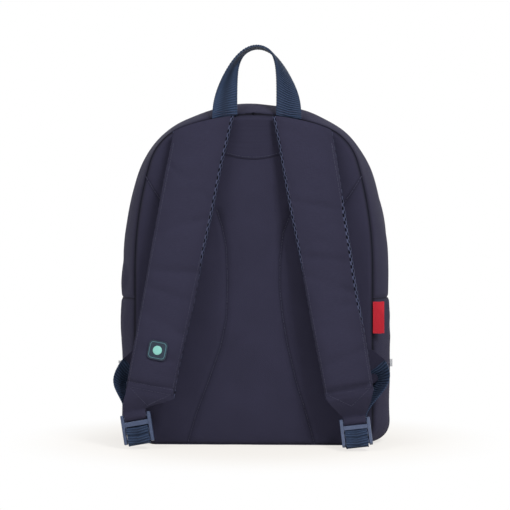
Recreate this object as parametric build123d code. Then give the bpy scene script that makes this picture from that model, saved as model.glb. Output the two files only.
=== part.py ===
from build123d import *
import math
import os

# School backpack standing on its base. X runs across the bag, Y from the wearer's side (negative,
# where the shoulder straps hang) to the front pocket (positive), Z up. The origin is the middle of
# the base, on the floor. All sizes are in millimetres.

# Bag body
BAG_HEIGHT = 404.0
BAG_WIDTH = 322.0
MAIN_DEPTH = 125.0
BASE_CORNER = 24.0
SEAM_DROP = 16.0  # how far the back and front seams lie inside the widest outline, at the top
SEAM_INSET = 21.0  # the same at the sides
BULGE_Y = -22.0  # where the gusset is at its widest
CLOTH = 1.6  # outer cloth with its coating and lining
LINING = 1.0
BACK_FOAM = 6.0
STIFFENER = 2.0
BINDING = 2.6
BINDING_DEPTH = 4.0
FOAM_GAP = 2.0  # between the seam binding and the foam and stiffener inside
BASE_SEAM = 2.0  # from the rounded base corner to the side panel's lower seam
YOKE = 1.2
YOKE_HEIGHT = 52.0
YOKE_WIDTH = 132.0

# Outlines: where the crown arc ends, shoulder radius, where the shoulder ends, hip radius
SEAM_CROWN_END = 20.0
SEAM_SHOULDER = 62.0
SEAM_SHOULDER_END = 74.0
SEAM_HIP = 460.0
BULGE_CROWN_END = 23.6
BULGE_SHOULDER = 110.0
BULGE_SHOULDER_END = 72.0
BULGE_HIP = 420.0
ZIP_CROWN_END = 30.0
ZIP_SHOULDER_END = 72.0

# Main zip
ZIP_END_DROP = 68.0  # how far under the middle of its round the zip ends, where the lid folds
ZIP_FOOT_INSET = 9.0  # from the widest outline's foot to the zip outline's foot
ZIP_Y = 20.0  # where the two coils meet
ZIP_DROP = 6.0  # how far the zip lies under the widest outline
TAPE_WIDTH = 12.0
TAPE = 0.8
COIL = 1.6
COIL_WIDTH = 1.2
COIL_GAP = 1.2  # between the two coils, for the slider's post
LID_GAP = 0.4

# Sliders and their pulls
SLIDER_LENGTH = 9.0
SLIDER_WIDTH = 8.0
SLIDER_PLATE = 1.2
SLIDER_POST = 0.6
SLIDER_POST_INSET = 0.4  # from the slider's end
SLIDER_CLEAR = 0.6  # between a slider plate and the coils
BAIL_RADIUS = 0.7
BAIL_GAP = 0.25
PULL_LENGTH = 28.0
PULL_WIDTH = 6.4
PULL = 1.4
PULL_EYE = 1.9
PULL_NECK = 2.5  # from the eye to the tab
PULL_LAP = 1.0  # how far the neck runs into the tab
EYE_LAP = 0.4  # how far the neck runs into the eye's wall
PULL_CORNER = 2.56
PULL_HOLE = 1.3  # radius
PULL_HOLE_END = 5.0  # from the hole to the tab's end
SLIDER_REST = 3.2  # degrees from the top of the zip

# Front pocket
POCKET_WIDTH = 236.0
POCKET_BOTTOM = 6.0
POCKET_TOP = 146.0
POCKET_DEPTH = 35.0
POCKET_TOP_CORNER = 45.0
POCKET_FOOT_CORNER = 24.0
POCKET_ZIP = 144.0

# Shoulder straps
STRAP_TOP_X = 56.0
STRAP_TOP_DROP = 2.0  # under the top of the seam
STRAP_BOTTOM_Z = 62.0
STRAP_TOP_WIDTH = 66.0
STRAP_BOTTOM_WIDTH = 56.0
STRAP_FOAM = 8.0
STRAP_MESH = 1.5
STRAP_COVER = 1.0
STRAP_BOW = 31.0
STRAP_PARTS = 8
FOAM_EDGE = 3.0  # how far the foam ends inside the cover's edge
TAB = 2.4
TAB_SHOULDER = 0.35  # share of the tab's length at which it starts to narrow
TAB_SHOULDER_WIDTH = 8.0  # more than the mean of its two ends
TAB_NECK = 4.0  # straight part over the loop

# Webbing and ladder locks
WEBBING = 1.4
WEBBING_WIDTH = 25.0
LOCK_RAIL = 4.0
LOCK_DEPTH = 5.6
LOCK_BAR = 1.6  # radius of the bar in the strap's tab
LOCK_LENGTH = 30.0
LOCK_TOP = 4.0  # how far the rails stand over the strap's bar
LOCK_SLAB = 3.0  # thickness of the plate, grip bar and lip bar
PLATE_FOOT = 10.5
PLATE_OUT = 0.6
GRIP_TOP = 14.0
GRIP_FOOT = 18.6
LIP_TOP = 24.0
LIP_FOOT = 28.5
BAR_OUT = 0.1
SLAB_ROUND = 0.7
WEBBING_SIDE_GAP = 1.0
RUN_SEAT = 4.0  # from the seam to the middle of the webbing where it is sewn on its anchor
RUN_BOW = 26.0  # how far the adjuster webbing bows out past the seam
RUN_BOW_BACK = 3.0
RUN_BOW_DROP = 26.0
RUN_SLOPE = 0.3
RUN_OVER_LOCK = (30.0, -8.5)  # up and out from the lock's bar
RUN_END = (-6.8, -5.6)
RUN_PARTS = 10

# Points of the adjuster webbing through its lock, up and out from the strap's bar, and its tail
LOCK_ROUTE = [
    (-7.5, -5.2),
    (-11.2, -3.2),
    (-12.25, -0.6),
    (-12.25, 2.0),
    (-14.2, 3.5),
    (-18.4, 3.5),
    (-21.3, 1.9),
    (-24.2, 3.5),
    (-28.6, 3.5),
    (-31.0, 1.6),
    (-31.2, -1.6),
    (-29.6, -4.6),
]
TAIL_ROUTE = [(5.0, -27.5, -8.0), (13.0, -24.5, -12.0)]

# Grab handle
HANDLE_WIDTH = 30.0
HANDLE = 1.8
HANDLE_HEIGHT = 80.0
HANDLE_SPAN = 75.0
HANDLE_LEAN = 10.0
HANDLE_SEAT = 1.2  # how far its feet reach down over the back panel's edge
HANDLE_ROUND = 0.75  # under 1 fills the loop out at its sides
HANDLE_TWIST = 1.5  # over 1 keeps the feet flat for longer
HANDLE_SPLAY = 35.0
HANDLE_PARTS = 14

# Small sewn pieces
BADGE = 22.0
BADGE_CORNER = 5.0
BADGE_HEIGHT_Z = 113.0
LABEL_WIDTH = 13.0
LABEL_HEIGHT = 37.0
LABEL_TOP_Z = 168.0
LABEL_SEAT = 2.0
REFLECTOR_REACH = 3.0
REFLECTOR_Z = 94.0
TRIM = 0.8
ANCHOR_Z = 92.0
ANCHOR_HEIGHT = 40.0
ANCHOR_REACH = 16.0
ANCHOR_SEAT = 6.0
ANCHOR_TIP = 6.0

GAP = 0.3  # running clearance between bodies
SEW_GAP = 0.1  # between sewn layers that curve together

# Each side's strap: where its foot hangs, its lock's bar, the lock's tilt, how far it leans
# out, and the height of its reflective flag
SIDES = {
    "left": {
        "sign": -1,
        "foot_x": 118.0,
        "bar": (-134.0, -101.0, 36.0),
        "tilt": 10.0,
        "lean": 10.0,
        "flag": 3.0,
    },
    "right": {
        "sign": 1,
        "foot_x": 112.0,
        "bar": (118.0, -99.0, 31.0),
        "tilt": 6.5,
        "lean": 35.0,
        "flag": 9.0,
    },
}

# Worked out from the sizes above
BACK_Y = -MAIN_DEPTH / 2
FRONT_Y = MAIN_DEPTH / 2
BACK_FACE_Y = BACK_Y - CLOTH
FRONT_FACE_Y = FRONT_Y + CLOTH
SEAM_HALF = BAG_WIDTH / 2 - SEAM_INSET
SEAM_TOP = BAG_HEIGHT - SEAM_DROP
ZIP_RADIUS = BAG_WIDTH / 2 - ZIP_DROP / 2
ZIP_TOP = BAG_HEIGHT - ZIP_DROP
ZIP_CENTRE_Z = ZIP_TOP - ZIP_RADIUS
ZIP_END_Z = ZIP_CENTRE_Z - ZIP_END_DROP
ZIP_EDGE = COIL_GAP / 2
BASE_HALF = SEAM_HALF - BASE_CORNER - BASE_SEAM
STRAP_TOP_Z = SEAM_TOP - STRAP_TOP_DROP
POCKET_FACE_Y = FRONT_FACE_Y + POCKET_DEPTH - CLOTH
POCKET_ZIP_Y = FRONT_FACE_Y + POCKET_DEPTH / 2
STRAP = STRAP_FOAM + STRAP_MESH + STRAP_COVER
HANDLE_Y = BACK_FACE_Y - GAP - HANDLE / 2
FAR = 1000.0


def polar(centre, radius, degrees):
    """A point at an angle from straight up, turning towards +X."""
    turn = math.radians(degrees)
    return centre[0] + radius * math.sin(turn), centre[1] + radius * math.cos(turn)


def arched(top, half, crown_end, shoulder, shoulder_end, hip, foot):
    """Crown, shoulder and hip arcs that meet smoothly and end upright at the half width."""
    sine_crown = math.sin(math.radians(crown_end))
    sine_shoulder = math.sin(math.radians(shoulder_end))
    rest = half - shoulder * (sine_shoulder - sine_crown) - hip * (1 - sine_shoulder)
    crown = rest / sine_crown
    crown_centre = (0.0, top - crown)
    shoulder_centre = polar(polar(crown_centre, crown, crown_end), -shoulder, crown_end)
    hip_centre = polar(polar(shoulder_centre, shoulder, shoulder_end), -hip, shoulder_end)
    arcs = [
        (crown_centre, crown, 0.0, crown_end),
        (shoulder_centre, shoulder, crown_end, shoulder_end),
        (hip_centre, hip, shoulder_end, 90.0),
    ]
    return arcs, foot


def round_topped(top, radius, end_z, foot):
    """One circle, so that a slider can follow it, down to the height where the zip ends."""
    centre = (0.0, top - radius)
    end = math.degrees(math.acos((end_z - centre[1]) / radius))
    turns = [0.0, ZIP_CROWN_END, ZIP_SHOULDER_END, end]
    arcs = [(centre, radius, first, last) for first, last in zip(turns, turns[1:])]
    return arcs, foot


SEAM_ARCS = (SEAM_CROWN_END, SEAM_SHOULDER, SEAM_SHOULDER_END, SEAM_HIP)
SEAM = arched(SEAM_TOP, SEAM_HALF, *SEAM_ARCS, SEAM_HALF)
BULGE_ARCS = (BULGE_CROWN_END, BULGE_SHOULDER, BULGE_SHOULDER_END, BULGE_HIP)
BULGE = arched(BAG_HEIGHT, BAG_WIDTH / 2, *BULGE_ARCS, BAG_WIDTH / 2)
ZIP = round_topped(ZIP_TOP, ZIP_RADIUS, ZIP_END_Z, BAG_WIDTH / 2 - ZIP_FOOT_INSET)


def outline(shape, y, inset=0.0):
    """The closed wire of an outline at one depth, set in evenly all round."""
    arcs, foot = shape
    corner = BASE_CORNER - inset
    turn = (foot - inset - corner, BASE_CORNER)
    ends = []
    for centre, radius, start, end in arcs:
        middle = polar(centre, radius - inset, (start + end) / 2)
        ends.append((polar(centre, radius - inset, start), middle, polar(centre, radius - inset, end)))
    side = (ends[-1][2], (foot - inset, BASE_CORNER))
    round_foot = ((foot - inset, BASE_CORNER), polar(turn, corner, 135.0), (turn[0], inset))

    def at(point, sign=1):
        return Vector(sign * point[0], y, point[1])

    edges = [Edge.make_three_point_arc(at(ends[0][2], -1), at(ends[0][0]), at(ends[0][2]))]
    edges += [Edge.make_three_point_arc(*[at(point) for point in arc]) for arc in ends[1:]]
    edges.append(Edge.make_line(at(side[0]), at(side[1])))
    edges.append(Edge.make_three_point_arc(*[at(point) for point in round_foot]))
    edges.append(Edge.make_line(at(round_foot[2]), at(round_foot[2], -1)))
    edges.append(Edge.make_three_point_arc(*[at(point, -1) for point in reversed(round_foot)]))
    edges.append(Edge.make_line(at(side[1], -1), at(side[0], -1)))
    edges += [
        Edge.make_three_point_arc(*[at(point, -1) for point in reversed(arc)])
        for arc in reversed(ends[1:])
    ]
    return Wire(edges)


def slab(shape, y0, y1, inset=0.0):
    """A flat plate with the outline's shape, between two depths."""
    return extrude(Face(outline(shape, y0, inset)), y1 - y0, dir=(0, 1, 0))


def band(shape, y0, y1, outside, inside):
    """A closed strip round the outline, between two depths and two insets."""
    return slab(shape, y0, y1, outside) - slab(shape, y0, y1, inside)


def block(x, y, z):
    """A box between two values on each axis."""
    size = [high - low for low, high in (x, y, z)]
    middle = [(high + low) / 2 for low, high in (x, y, z)]
    return Pos(*middle) * Box(*size)


ABOVE_LID = block((-FAR, FAR), (-FAR, FAR), (ZIP_END_Z + LID_GAP / 2, FAR))
BELOW_LID = block((-FAR, FAR), (-FAR, FAR), (-FAR, ZIP_END_Z - LID_GAP / 2))
ABOVE_ZIP_END = block((-FAR, FAR), (-FAR, FAR), (ZIP_END_Z, FAR))


def bag_space(inset=0.0):
    """All that lies inside the bag's side cloth, set in evenly from its outer face."""
    sections = [
        (SEAM, BACK_Y),
        (BULGE, BULGE_Y),
        (ZIP, ZIP_Y - TAPE_WIDTH),
        (ZIP, ZIP_Y + TAPE_WIDTH),
        (SEAM, FRONT_Y),
    ]
    return Part([Solid.make_loft([outline(shape, y, inset) for shape, y in sections], True)])


def whole_gusset():
    """The strip of cloth that goes round the bag between its back and front seams."""
    return bag_space() - bag_space(CLOTH)


def zip_tape(low, high, coil_low, coil_high):
    """One half of the main zip: its tape with the coil sewn along the edge."""
    inner = (COIL - TAPE) / 2
    tape = band(ZIP, low, high, inner, inner + TAPE)
    coil = band(ZIP, coil_low, coil_high, 0.0, COIL)
    return tape + coil


def slider(coil):
    """Slider at the origin: it runs along X, and Z = 0 is the outside of the coils."""
    top = SLIDER_CLEAR + SLIDER_PLATE / 2
    under = -coil - SLIDER_CLEAR - SLIDER_PLATE / 2
    body = Pos(0, 0, top) * Box(SLIDER_LENGTH, SLIDER_WIDTH, SLIDER_PLATE)
    body += Pos(0, 0, under) * Box(SLIDER_LENGTH, SLIDER_WIDTH, SLIDER_PLATE)
    corners = body.edges().filter_by(Axis.Z)
    body = fillet(corners, SLIDER_WIDTH / 4)
    post = Box(SLIDER_LENGTH / 4, SLIDER_POST, top - under)
    post_x = SLIDER_POST_INSET - SLIDER_LENGTH * 3 / 8
    body += Pos(post_x, 0, (top + under) / 2) * post
    side = PULL_EYE / 2 + BAIL_GAP
    height = bail_height()
    leg_height = height + BAIL_RADIUS - top
    for sign in (-1, 1):
        leg = Box(2 * BAIL_RADIUS, BAIL_RADIUS, leg_height)
        body += Pos(0, sign * (side + BAIL_RADIUS / 2), top + leg_height / 2) * leg
    body += Pos(0, 0, height) * Rot(90, 0, 0) * Cylinder(BAIL_RADIUS, 2 * side + BAIL_RADIUS)
    return body


def bail_height():
    """Height of the bail's bar over the coils."""
    return SLIDER_CLEAR + SLIDER_PLATE + BAIL_GAP + PULL_EYE


def pull():
    """Pull tab on the bail's bar, lying along +X."""
    height = bail_height()
    eye = Cylinder(PULL_EYE, PULL_EYE) - Cylinder(BAIL_RADIUS + BAIL_GAP, PULL_EYE + 1)
    body = Pos(0, 0, height) * Rot(90, 0, 0) * eye
    start = PULL_EYE + PULL_NECK
    thick = (height - PULL / 2, height + PULL / 2)
    neck = (BAIL_RADIUS + BAIL_GAP + EYE_LAP, start + PULL_LAP)
    body += block(neck, (-PULL_EYE / 2, PULL_EYE / 2), thick)
    tab = block((start, PULL_LENGTH), (-PULL_WIDTH / 2, PULL_WIDTH / 2), thick)
    tab = fillet(tab.edges().filter_by(Axis.Z), PULL_CORNER)
    hole = Pos(PULL_LENGTH - PULL_HOLE_END, 0, height) * Cylinder(PULL_HOLE, 2 * PULL)
    return body + tab - hole


def on_zip(piece, degrees):
    """Puts a slider or pull on the main zip; left of the top it is turned to run the other way."""
    turn = 180 if degrees < 0 else 0
    place = Pos(0, ZIP_Y, ZIP_CENTRE_Z) * Rot(0, degrees, 0) * Pos(0, 0, ZIP_RADIUS)
    return place * Rot(0, 0, turn) * piece


def pocket_block(y0, y1, inset=0.0):
    """The front pocket's rounded shape between two depths."""
    half = POCKET_WIDTH / 2 - inset
    body = block((-half, half), (y0, y1), (POCKET_BOTTOM + inset, POCKET_TOP - inset))
    edges = body.edges().filter_by(Axis.Y).sort_by(Axis.Z)
    body = fillet(edges[2:], POCKET_TOP_CORNER - inset)
    edges = body.edges().filter_by(Axis.Y).sort_by(Axis.Z)
    return fillet(edges[:2], POCKET_FOOT_CORNER - inset)


def pocket_slot():
    """The opening in the pocket's top for its zip."""
    half = POCKET_ZIP / 2
    depth = (POCKET_ZIP_Y - TAPE_WIDTH / 2, POCKET_ZIP_Y + TAPE_WIDTH / 2)
    return block((-half, half), depth, (POCKET_TOP - 2 * CLOTH, POCKET_TOP + CLOTH))


def pocket_tape(sign):
    """One half of the pocket's zip."""
    half = POCKET_ZIP / 2
    edge = sorted((POCKET_ZIP_Y + sign * ZIP_EDGE, POCKET_ZIP_Y + sign * TAPE_WIDTH / 2))
    coil = sorted((POCKET_ZIP_Y + sign * ZIP_EDGE, POCKET_ZIP_Y + sign * (ZIP_EDGE + COIL_WIDTH)))
    inner = POCKET_TOP - (COIL - TAPE) / 2
    tape = block((-half, half), edge, (inner - TAPE, inner))
    return tape + block((-half, half), coil, (POCKET_TOP - COIL, POCKET_TOP))


def ribbon(stations, low, high):
    """A strip through stations of (centre, across, outward, width), between two outward offsets."""
    first, second = stations[0], stations[1]
    if first[1].cross(first[2]).dot(second[0] - first[0]) < 0:
        stations = stations[::-1]
    wires = []
    for centre, across, outward, width in stations:
        corners = [(-1, low), (1, low), (1, high), (-1, high)]
        points = [centre + across * (side * width / 2) + outward * off for side, off in corners]
        wires.append(Wire.make_polygon(points, close=True))
    return Part([Solid.make_loft(wires, True)])


def strap_centre(side, along):
    """Middle of the strap's thickness at a share of its length from the top."""
    x = side["sign"] * (STRAP_TOP_X + (side["foot_x"] - STRAP_TOP_X) * along)
    y = BACK_FACE_Y - YOKE - GAP - STRAP / 2 - STRAP_BOW * math.sin(math.radians(90 * along))
    z = STRAP_TOP_Z + (STRAP_BOTTOM_Z - STRAP_TOP_Z) * along
    return Vector(x, y, z)


def strap_station(side, along):
    """Centre, across and outward directions and width of the strap at a share of its length."""
    step = 0.01
    run = (strap_centre(side, along + step) - strap_centre(side, along - step)).normalized()
    across = Vector(-run.Z, 0, run.X).normalized()
    outward = run.cross(across).normalized()
    width = STRAP_TOP_WIDTH + (STRAP_BOTTOM_WIDTH - STRAP_TOP_WIDTH) * along
    return strap_centre(side, along), across, outward, width


def strap_layer(side, low, high, edge=0.0):
    """One layer of a shoulder strap, between two offsets from its inner face, trimmed at the seam."""
    stations = []
    for step in range(STRAP_PARTS + 1):
        centre, across, outward, width = strap_station(side, step / STRAP_PARTS)
        stations.append((centre, across, outward, width - 2 * edge))
    layer = ribbon(stations, low - STRAP / 2, high - STRAP / 2)
    return layer & slab(SEAM, BACK_FACE_Y - 4 * STRAP_BOW, BACK_FACE_Y, 2 * CLOTH)


def lock_plane(side):
    """The ladder lock's own frame: X along its bars, Y up, Z outward, origin on its top bar."""
    tilt, lean = math.radians(side["tilt"]), math.radians(side["lean"])
    across = Vector(math.cos(tilt), 0, math.sin(tilt))
    down = Vector(math.sin(tilt), 0, -math.cos(tilt)) * math.cos(lean) + Vector(0, -math.sin(lean), 0)
    return Plane(origin=side["bar"], x_dir=across, z_dir=down.cross(across))


def strap_tab(side):
    """Tapered cloth tab from the strap's foot, looped round the lock's top bar."""
    plane = lock_plane(side)
    foot, across, outward, width = strap_station(side, 1.0)
    loop = LOCK_BAR + GAP
    run = (foot - strap_centre(side, 0.99)).normalized()
    start = foot - outward * (STRAP / 2 - STRAP_MESH - TAB / 2) + run * SEW_GAP
    neck = plane.from_local_coords(Vector(0, loop + TAB + TAB_NECK, 0))
    end = plane.from_local_coords(Vector(0, loop + TAB / 2, 0))
    shoulder = start + (neck - start) * TAB_SHOULDER
    shoulder_width = (width + WEBBING_WIDTH) / 2 + TAB_SHOULDER_WIDTH
    turned = (across + plane.x_dir).normalized()
    stations = [
        (start, across, outward, width - 2 * GAP),
        (shoulder, turned, (outward + plane.z_dir).normalized(), shoulder_width),
        (neck, plane.x_dir, plane.z_dir, WEBBING_WIDTH + 1),
        (end, plane.x_dir, plane.z_dir, WEBBING_WIDTH),
    ]
    ring = Cylinder(loop + TAB, WEBBING_WIDTH) - Cylinder(loop, WEBBING_WIDTH + 2)
    return ribbon(stations, -TAB / 2, TAB / 2) + plane.location * Rot(0, 90, 0) * ring


def ladder_lock(side):
    """Moulded ladder lock: two rails, the strap's bar, a plate, a grip bar and a lip bar."""
    half = WEBBING_WIDTH / 2 + WEBBING_SIDE_GAP
    body = Rot(0, 90, 0) * Cylinder(LOCK_BAR, 2 * half + LOCK_RAIL)
    for sign in (-1, 1):
        rail = Box(LOCK_RAIL, LOCK_LENGTH + LOCK_TOP, LOCK_DEPTH)
        rail = fillet(rail.edges(), LOCK_RAIL / 4)
        body += Pos(sign * (half + LOCK_RAIL / 2), (LOCK_TOP - LOCK_LENGTH) / 2, 0) * rail
    for start, end, height in lock_bars():
        bar = Box(2 * half + LOCK_RAIL / 4, start - end, LOCK_SLAB)
        body += Pos(0, (start + end) / 2, height) * fillet(bar.edges().filter_by(Axis.X), SLAB_ROUND)
    return lock_plane(side).location * body


def lock_bars():
    """Top and bottom edge and height of the lock's plate, grip bar and lip bar."""
    plate_top = LOCK_BAR + GAP + TAB + GAP
    return [
        (-plate_top, -PLATE_FOOT, PLATE_OUT),
        (-GRIP_TOP, -GRIP_FOOT, BAR_OUT),
        (-LIP_TOP, -LIP_FOOT, BAR_OUT),
    ]


def lock_webbing(side):
    """Adjuster webbing through the lock, behind the plate, over both bars, and its short tail."""
    plane = lock_plane(side)
    inward = -side["sign"]
    points = [Vector(0, up, out) for up, out in LOCK_ROUTE]
    points += [Vector(inward * reach, up, out) for reach, up, out in TAIL_ROUTE]
    stations = []
    for index, point in enumerate(points):
        before, after = points[max(index - 1, 0)], points[min(index + 1, len(points) - 1)]
        run = after - before
        run = Vector(0, run.Y, run.Z).normalized()
        outward = Vector(1, 0, 0).cross(run)
        stations.append((point, Vector(1, 0, 0), outward, WEBBING_WIDTH))
    return plane.location * ribbon(stations, -WEBBING / 2, WEBBING / 2)


def anchor_point(side, out, back, up):
    """A point measured from where the adjuster webbing is sewn into the side's back seam."""
    return Vector(side["sign"] * (SEAM_HALF + out), BACK_Y - back, ANCHOR_Z + up)


def anchor_tab(side):
    """Triangle of cloth in the back seam that holds the lower end of the adjuster webbing."""
    tall = ANCHOR_HEIGHT / 2
    points = [anchor_point(side, *offset) for offset in anchor_corners(tall)]
    face = Face(Wire.make_polygon(points, close=True))
    return extrude(face, CLOTH, dir=(0, -1, 0))


def anchor_corners(tall):
    """Corners of the anchor tab, in its flat: out from the seam, back and up."""
    back = CLOTH + GAP
    return [
        (-ANCHOR_SEAT, back, -tall),
        (-ANCHOR_SEAT, back, tall),
        (ANCHOR_REACH, back, ANCHOR_TIP),
        (ANCHOR_REACH, back, -ANCHOR_TIP),
    ]


def adjuster_run(side):
    """Adjuster webbing from its anchor, bowed out beside the strap, to the back of the lock."""
    plane = lock_plane(side)
    sign = side["sign"]
    back = CLOTH + GAP + CLOTH + 2 * GAP + WEBBING / 2
    sewn = anchor_point(side, RUN_SEAT, back, 0)
    bow = anchor_point(side, RUN_BOW, back + RUN_BOW_BACK, -RUN_BOW_DROP)
    behind = plane.from_local_coords(Vector(0, *RUN_OVER_LOCK))
    end = plane.from_local_coords(Vector(0, *RUN_END))
    first = Vector(sign, 0, RUN_SLOPE).normalized()
    stations = []
    for step in range(RUN_PARTS + 1):
        part = step / RUN_PARTS
        rest = 1 - part
        shares = (rest**3, 3 * part * rest**2, 3 * part**2 * rest, part**3)
        slopes = (-(rest**2), rest**2 - 2 * part * rest, 2 * part * rest - part**2, part**2)
        corners = (sewn, bow, behind, end)
        point = sum((corner * share for corner, share in zip(corners, shares)), Vector())
        run = sum((corner * slope for corner, slope in zip(corners, slopes)), Vector()).normalized()
        across = first * rest + plane.x_dir * sign * part
        outward = run.cross(across).normalized()
        stations.append((point, outward.cross(run).normalized(), outward, WEBBING_WIDTH))
    return ribbon(stations, -WEBBING / 2, WEBBING / 2)


def grab_handle():
    """Twisted webbing loop: its feet lie flat on the top seam, and its top turns edge up."""
    foot = HANDLE_SPAN / 2
    crown_centre, crown = SEAM[0][0][0], SEAM[0][0][1]
    foot_z = crown_centre[1] + math.sqrt(crown**2 - foot**2) - HANDLE_SEAT
    slope = math.asin(foot / crown)
    rise = SEAM_TOP + HANDLE_HEIGHT - foot_z
    lean = math.radians(HANDLE_LEAN)
    stations = []
    for step in range(HANDLE_PARTS + 1):
        turn = math.pi * step / HANDLE_PARTS
        up = rise * math.sin(turn) ** HANDLE_ROUND
        forward = up * math.sin(lean)
        centre = Vector(-foot * math.cos(turn), HANDLE_Y + forward, foot_z + up)
        twist = math.radians(90 * math.sin(turn) ** HANDLE_TWIST)
        steep = slope * math.cos(turn) + math.radians(HANDLE_SPLAY) * math.sin(2 * turn)
        flat = Vector(math.cos(steep), 0, math.sin(steep))
        across = flat * math.cos(twist) + Vector(0, math.cos(lean), 0) * math.sin(twist)
        run = Vector(foot * math.sin(turn), 0, rise * math.cos(turn)).normalized()
        outward = run.cross(across.normalized()).normalized()
        stations.append((centre, across.normalized(), outward, HANDLE_WIDTH))
    return ribbon(stations, -HANDLE / 2, HANDLE / 2)


def badge(side):
    """Bare rounded badge sewn on the strap's cover."""
    along = (STRAP_TOP_Z - BADGE_HEIGHT_Z) / (STRAP_TOP_Z - STRAP_BOTTOM_Z)
    centre, across, outward, _ = strap_station(side, along)
    plane = Plane(origin=centre + outward * (STRAP / 2 + GAP), x_dir=across, z_dir=outward)
    plate = Box(BADGE, BADGE, TRIM)
    plate = fillet(plate.edges().filter_by(Axis.Z), BADGE_CORNER)
    return plane.location * Pos(0, 0, TRIM / 2) * plate


def seam_label():
    """Bare woven label that stands out of the right back seam."""
    x = (SEAM_HALF - LABEL_SEAT, SEAM_HALF - LABEL_SEAT + LABEL_WIDTH)
    y = (BACK_FACE_Y - GAP - TRIM, BACK_FACE_Y - GAP)
    return block(x, y, (LABEL_TOP_Z - LABEL_HEIGHT, LABEL_TOP_Z))


def reflector(side):
    """Small reflective flag on the widest part of a lower side panel."""
    x = sorted(side["sign"] * (BAG_WIDTH / 2 + out) for out in (GAP, GAP + REFLECTOR_REACH))
    y = (BULGE_Y - TRIM / 2, BULGE_Y + TRIM / 2)
    return block(x, y, (REFLECTOR_Z - side["flag"] / 2, REFLECTOR_Z + side["flag"] / 2))


def base_group():
    """Base, back and front of the bag body, and what is sewn inside them."""
    pieces = {}
    gusset = whole_gusset()
    back_strip = block((-FAR, FAR), (-FAR, ZIP_Y - TAPE_WIDTH), (ZIP_END_Z, FAR))
    front_strip = block((-FAR, FAR), (ZIP_Y + TAPE_WIDTH, FAR), (-FAR, FAR))
    pieces["gusset_rear"] = gusset & back_strip
    pieces["gusset_front"] = gusset & front_strip & ABOVE_LID
    for name, side in SIDES.items():
        reach = sorted((side["sign"] * BASE_HALF, side["sign"] * FAR))
        half = block(reach, (-FAR, FAR), (-FAR, ZIP_END_Z - LID_GAP / 2))
        pieces["side_panel_" + name] = gusset & half
    pieces["base_panel"] = block((-BASE_HALF, BASE_HALF), (BACK_Y, FRONT_Y), (0, CLOTH))
    pieces["base_stiffener"] = block(
        (-BASE_HALF, BASE_HALF),
        (BACK_Y + BINDING_DEPTH + FOAM_GAP, FRONT_Y - BINDING_DEPTH - FOAM_GAP),
        (CLOTH, CLOTH + STIFFENER),
    )
    pieces["back_panel"] = slab(SEAM, BACK_FACE_Y, BACK_Y)
    foam_inset = CLOTH + BINDING + FOAM_GAP
    pieces["back_foam"] = slab(SEAM, BACK_Y, BACK_Y + BACK_FOAM, foam_inset)
    lining_y = BACK_Y + BACK_FOAM
    pieces["back_lining"] = slab(SEAM, lining_y, lining_y + LINING, foam_inset)
    yoke = block(
        (-YOKE_WIDTH / 2, YOKE_WIDTH / 2), (BACK_FACE_Y - YOKE, BACK_FACE_Y), (SEAM_TOP - YOKE_HEIGHT, FAR)
    )
    pieces["back_yoke"] = slab(SEAM, BACK_FACE_Y - YOKE, BACK_FACE_Y, CLOTH) & yoke
    front = slab(SEAM, FRONT_Y, FRONT_FACE_Y)
    pieces["front_panel_lower"] = front & BELOW_LID
    pieces["front_panel_upper"] = front & ABOVE_LID
    inside = bag_space(CLOTH + GAP)
    insets = (CLOTH + GAP, CLOTH + BINDING)
    pieces["seam_binding_back"] = band(SEAM, BACK_Y, BACK_Y + BINDING_DEPTH, *insets) & inside
    front_binding = band(SEAM, FRONT_Y - BINDING_DEPTH, FRONT_Y, *insets) & inside
    pieces["seam_binding_front_lower"] = front_binding & BELOW_LID
    pieces["seam_binding_front_upper"] = front_binding & ABOVE_LID
    return pieces


def zip_group():
    """The main zip's tapes, sliders and pulls."""
    low = ZIP_Y - TAPE_WIDTH
    high = ZIP_Y + TAPE_WIDTH
    rear_coil = (ZIP_Y - ZIP_EDGE - COIL_WIDTH, ZIP_Y - ZIP_EDGE)
    front_coil = (ZIP_Y + ZIP_EDGE, ZIP_Y + ZIP_EDGE + COIL_WIDTH)
    pieces = {
        "zip_tape_rear": zip_tape(low, rear_coil[1], *rear_coil) & ABOVE_ZIP_END,
        "zip_tape_front": zip_tape(front_coil[0], high, *front_coil) & ABOVE_LID,
    }
    for name, side in SIDES.items():
        angle = side["sign"] * SLIDER_REST
        pieces["zip_slider_" + name] = on_zip(slider(COIL), angle)
        pieces["zip_pull_" + name] = on_zip(pull(), angle)
    return pieces


def pocket_group():
    """The front pocket with its zip."""
    inside = POCKET_FACE_Y
    shell = pocket_block(FRONT_FACE_Y, inside) - pocket_block(FRONT_FACE_Y, inside, CLOTH)
    travel = POCKET_ZIP / 2 - SLIDER_LENGTH
    place = Pos(travel, POCKET_ZIP_Y, POCKET_TOP) * Rot(0, 0, 180)
    return {
        "pocket_gusset": shell - pocket_slot(),
        "pocket_face": pocket_block(inside, inside + CLOTH),
        "pocket_zip_tapes": Part([*pocket_tape(-1).solids(), *pocket_tape(1).solids()]),
        "pocket_slider": place * slider(COIL),
        "pocket_pull": place * pull(),
    }


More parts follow.
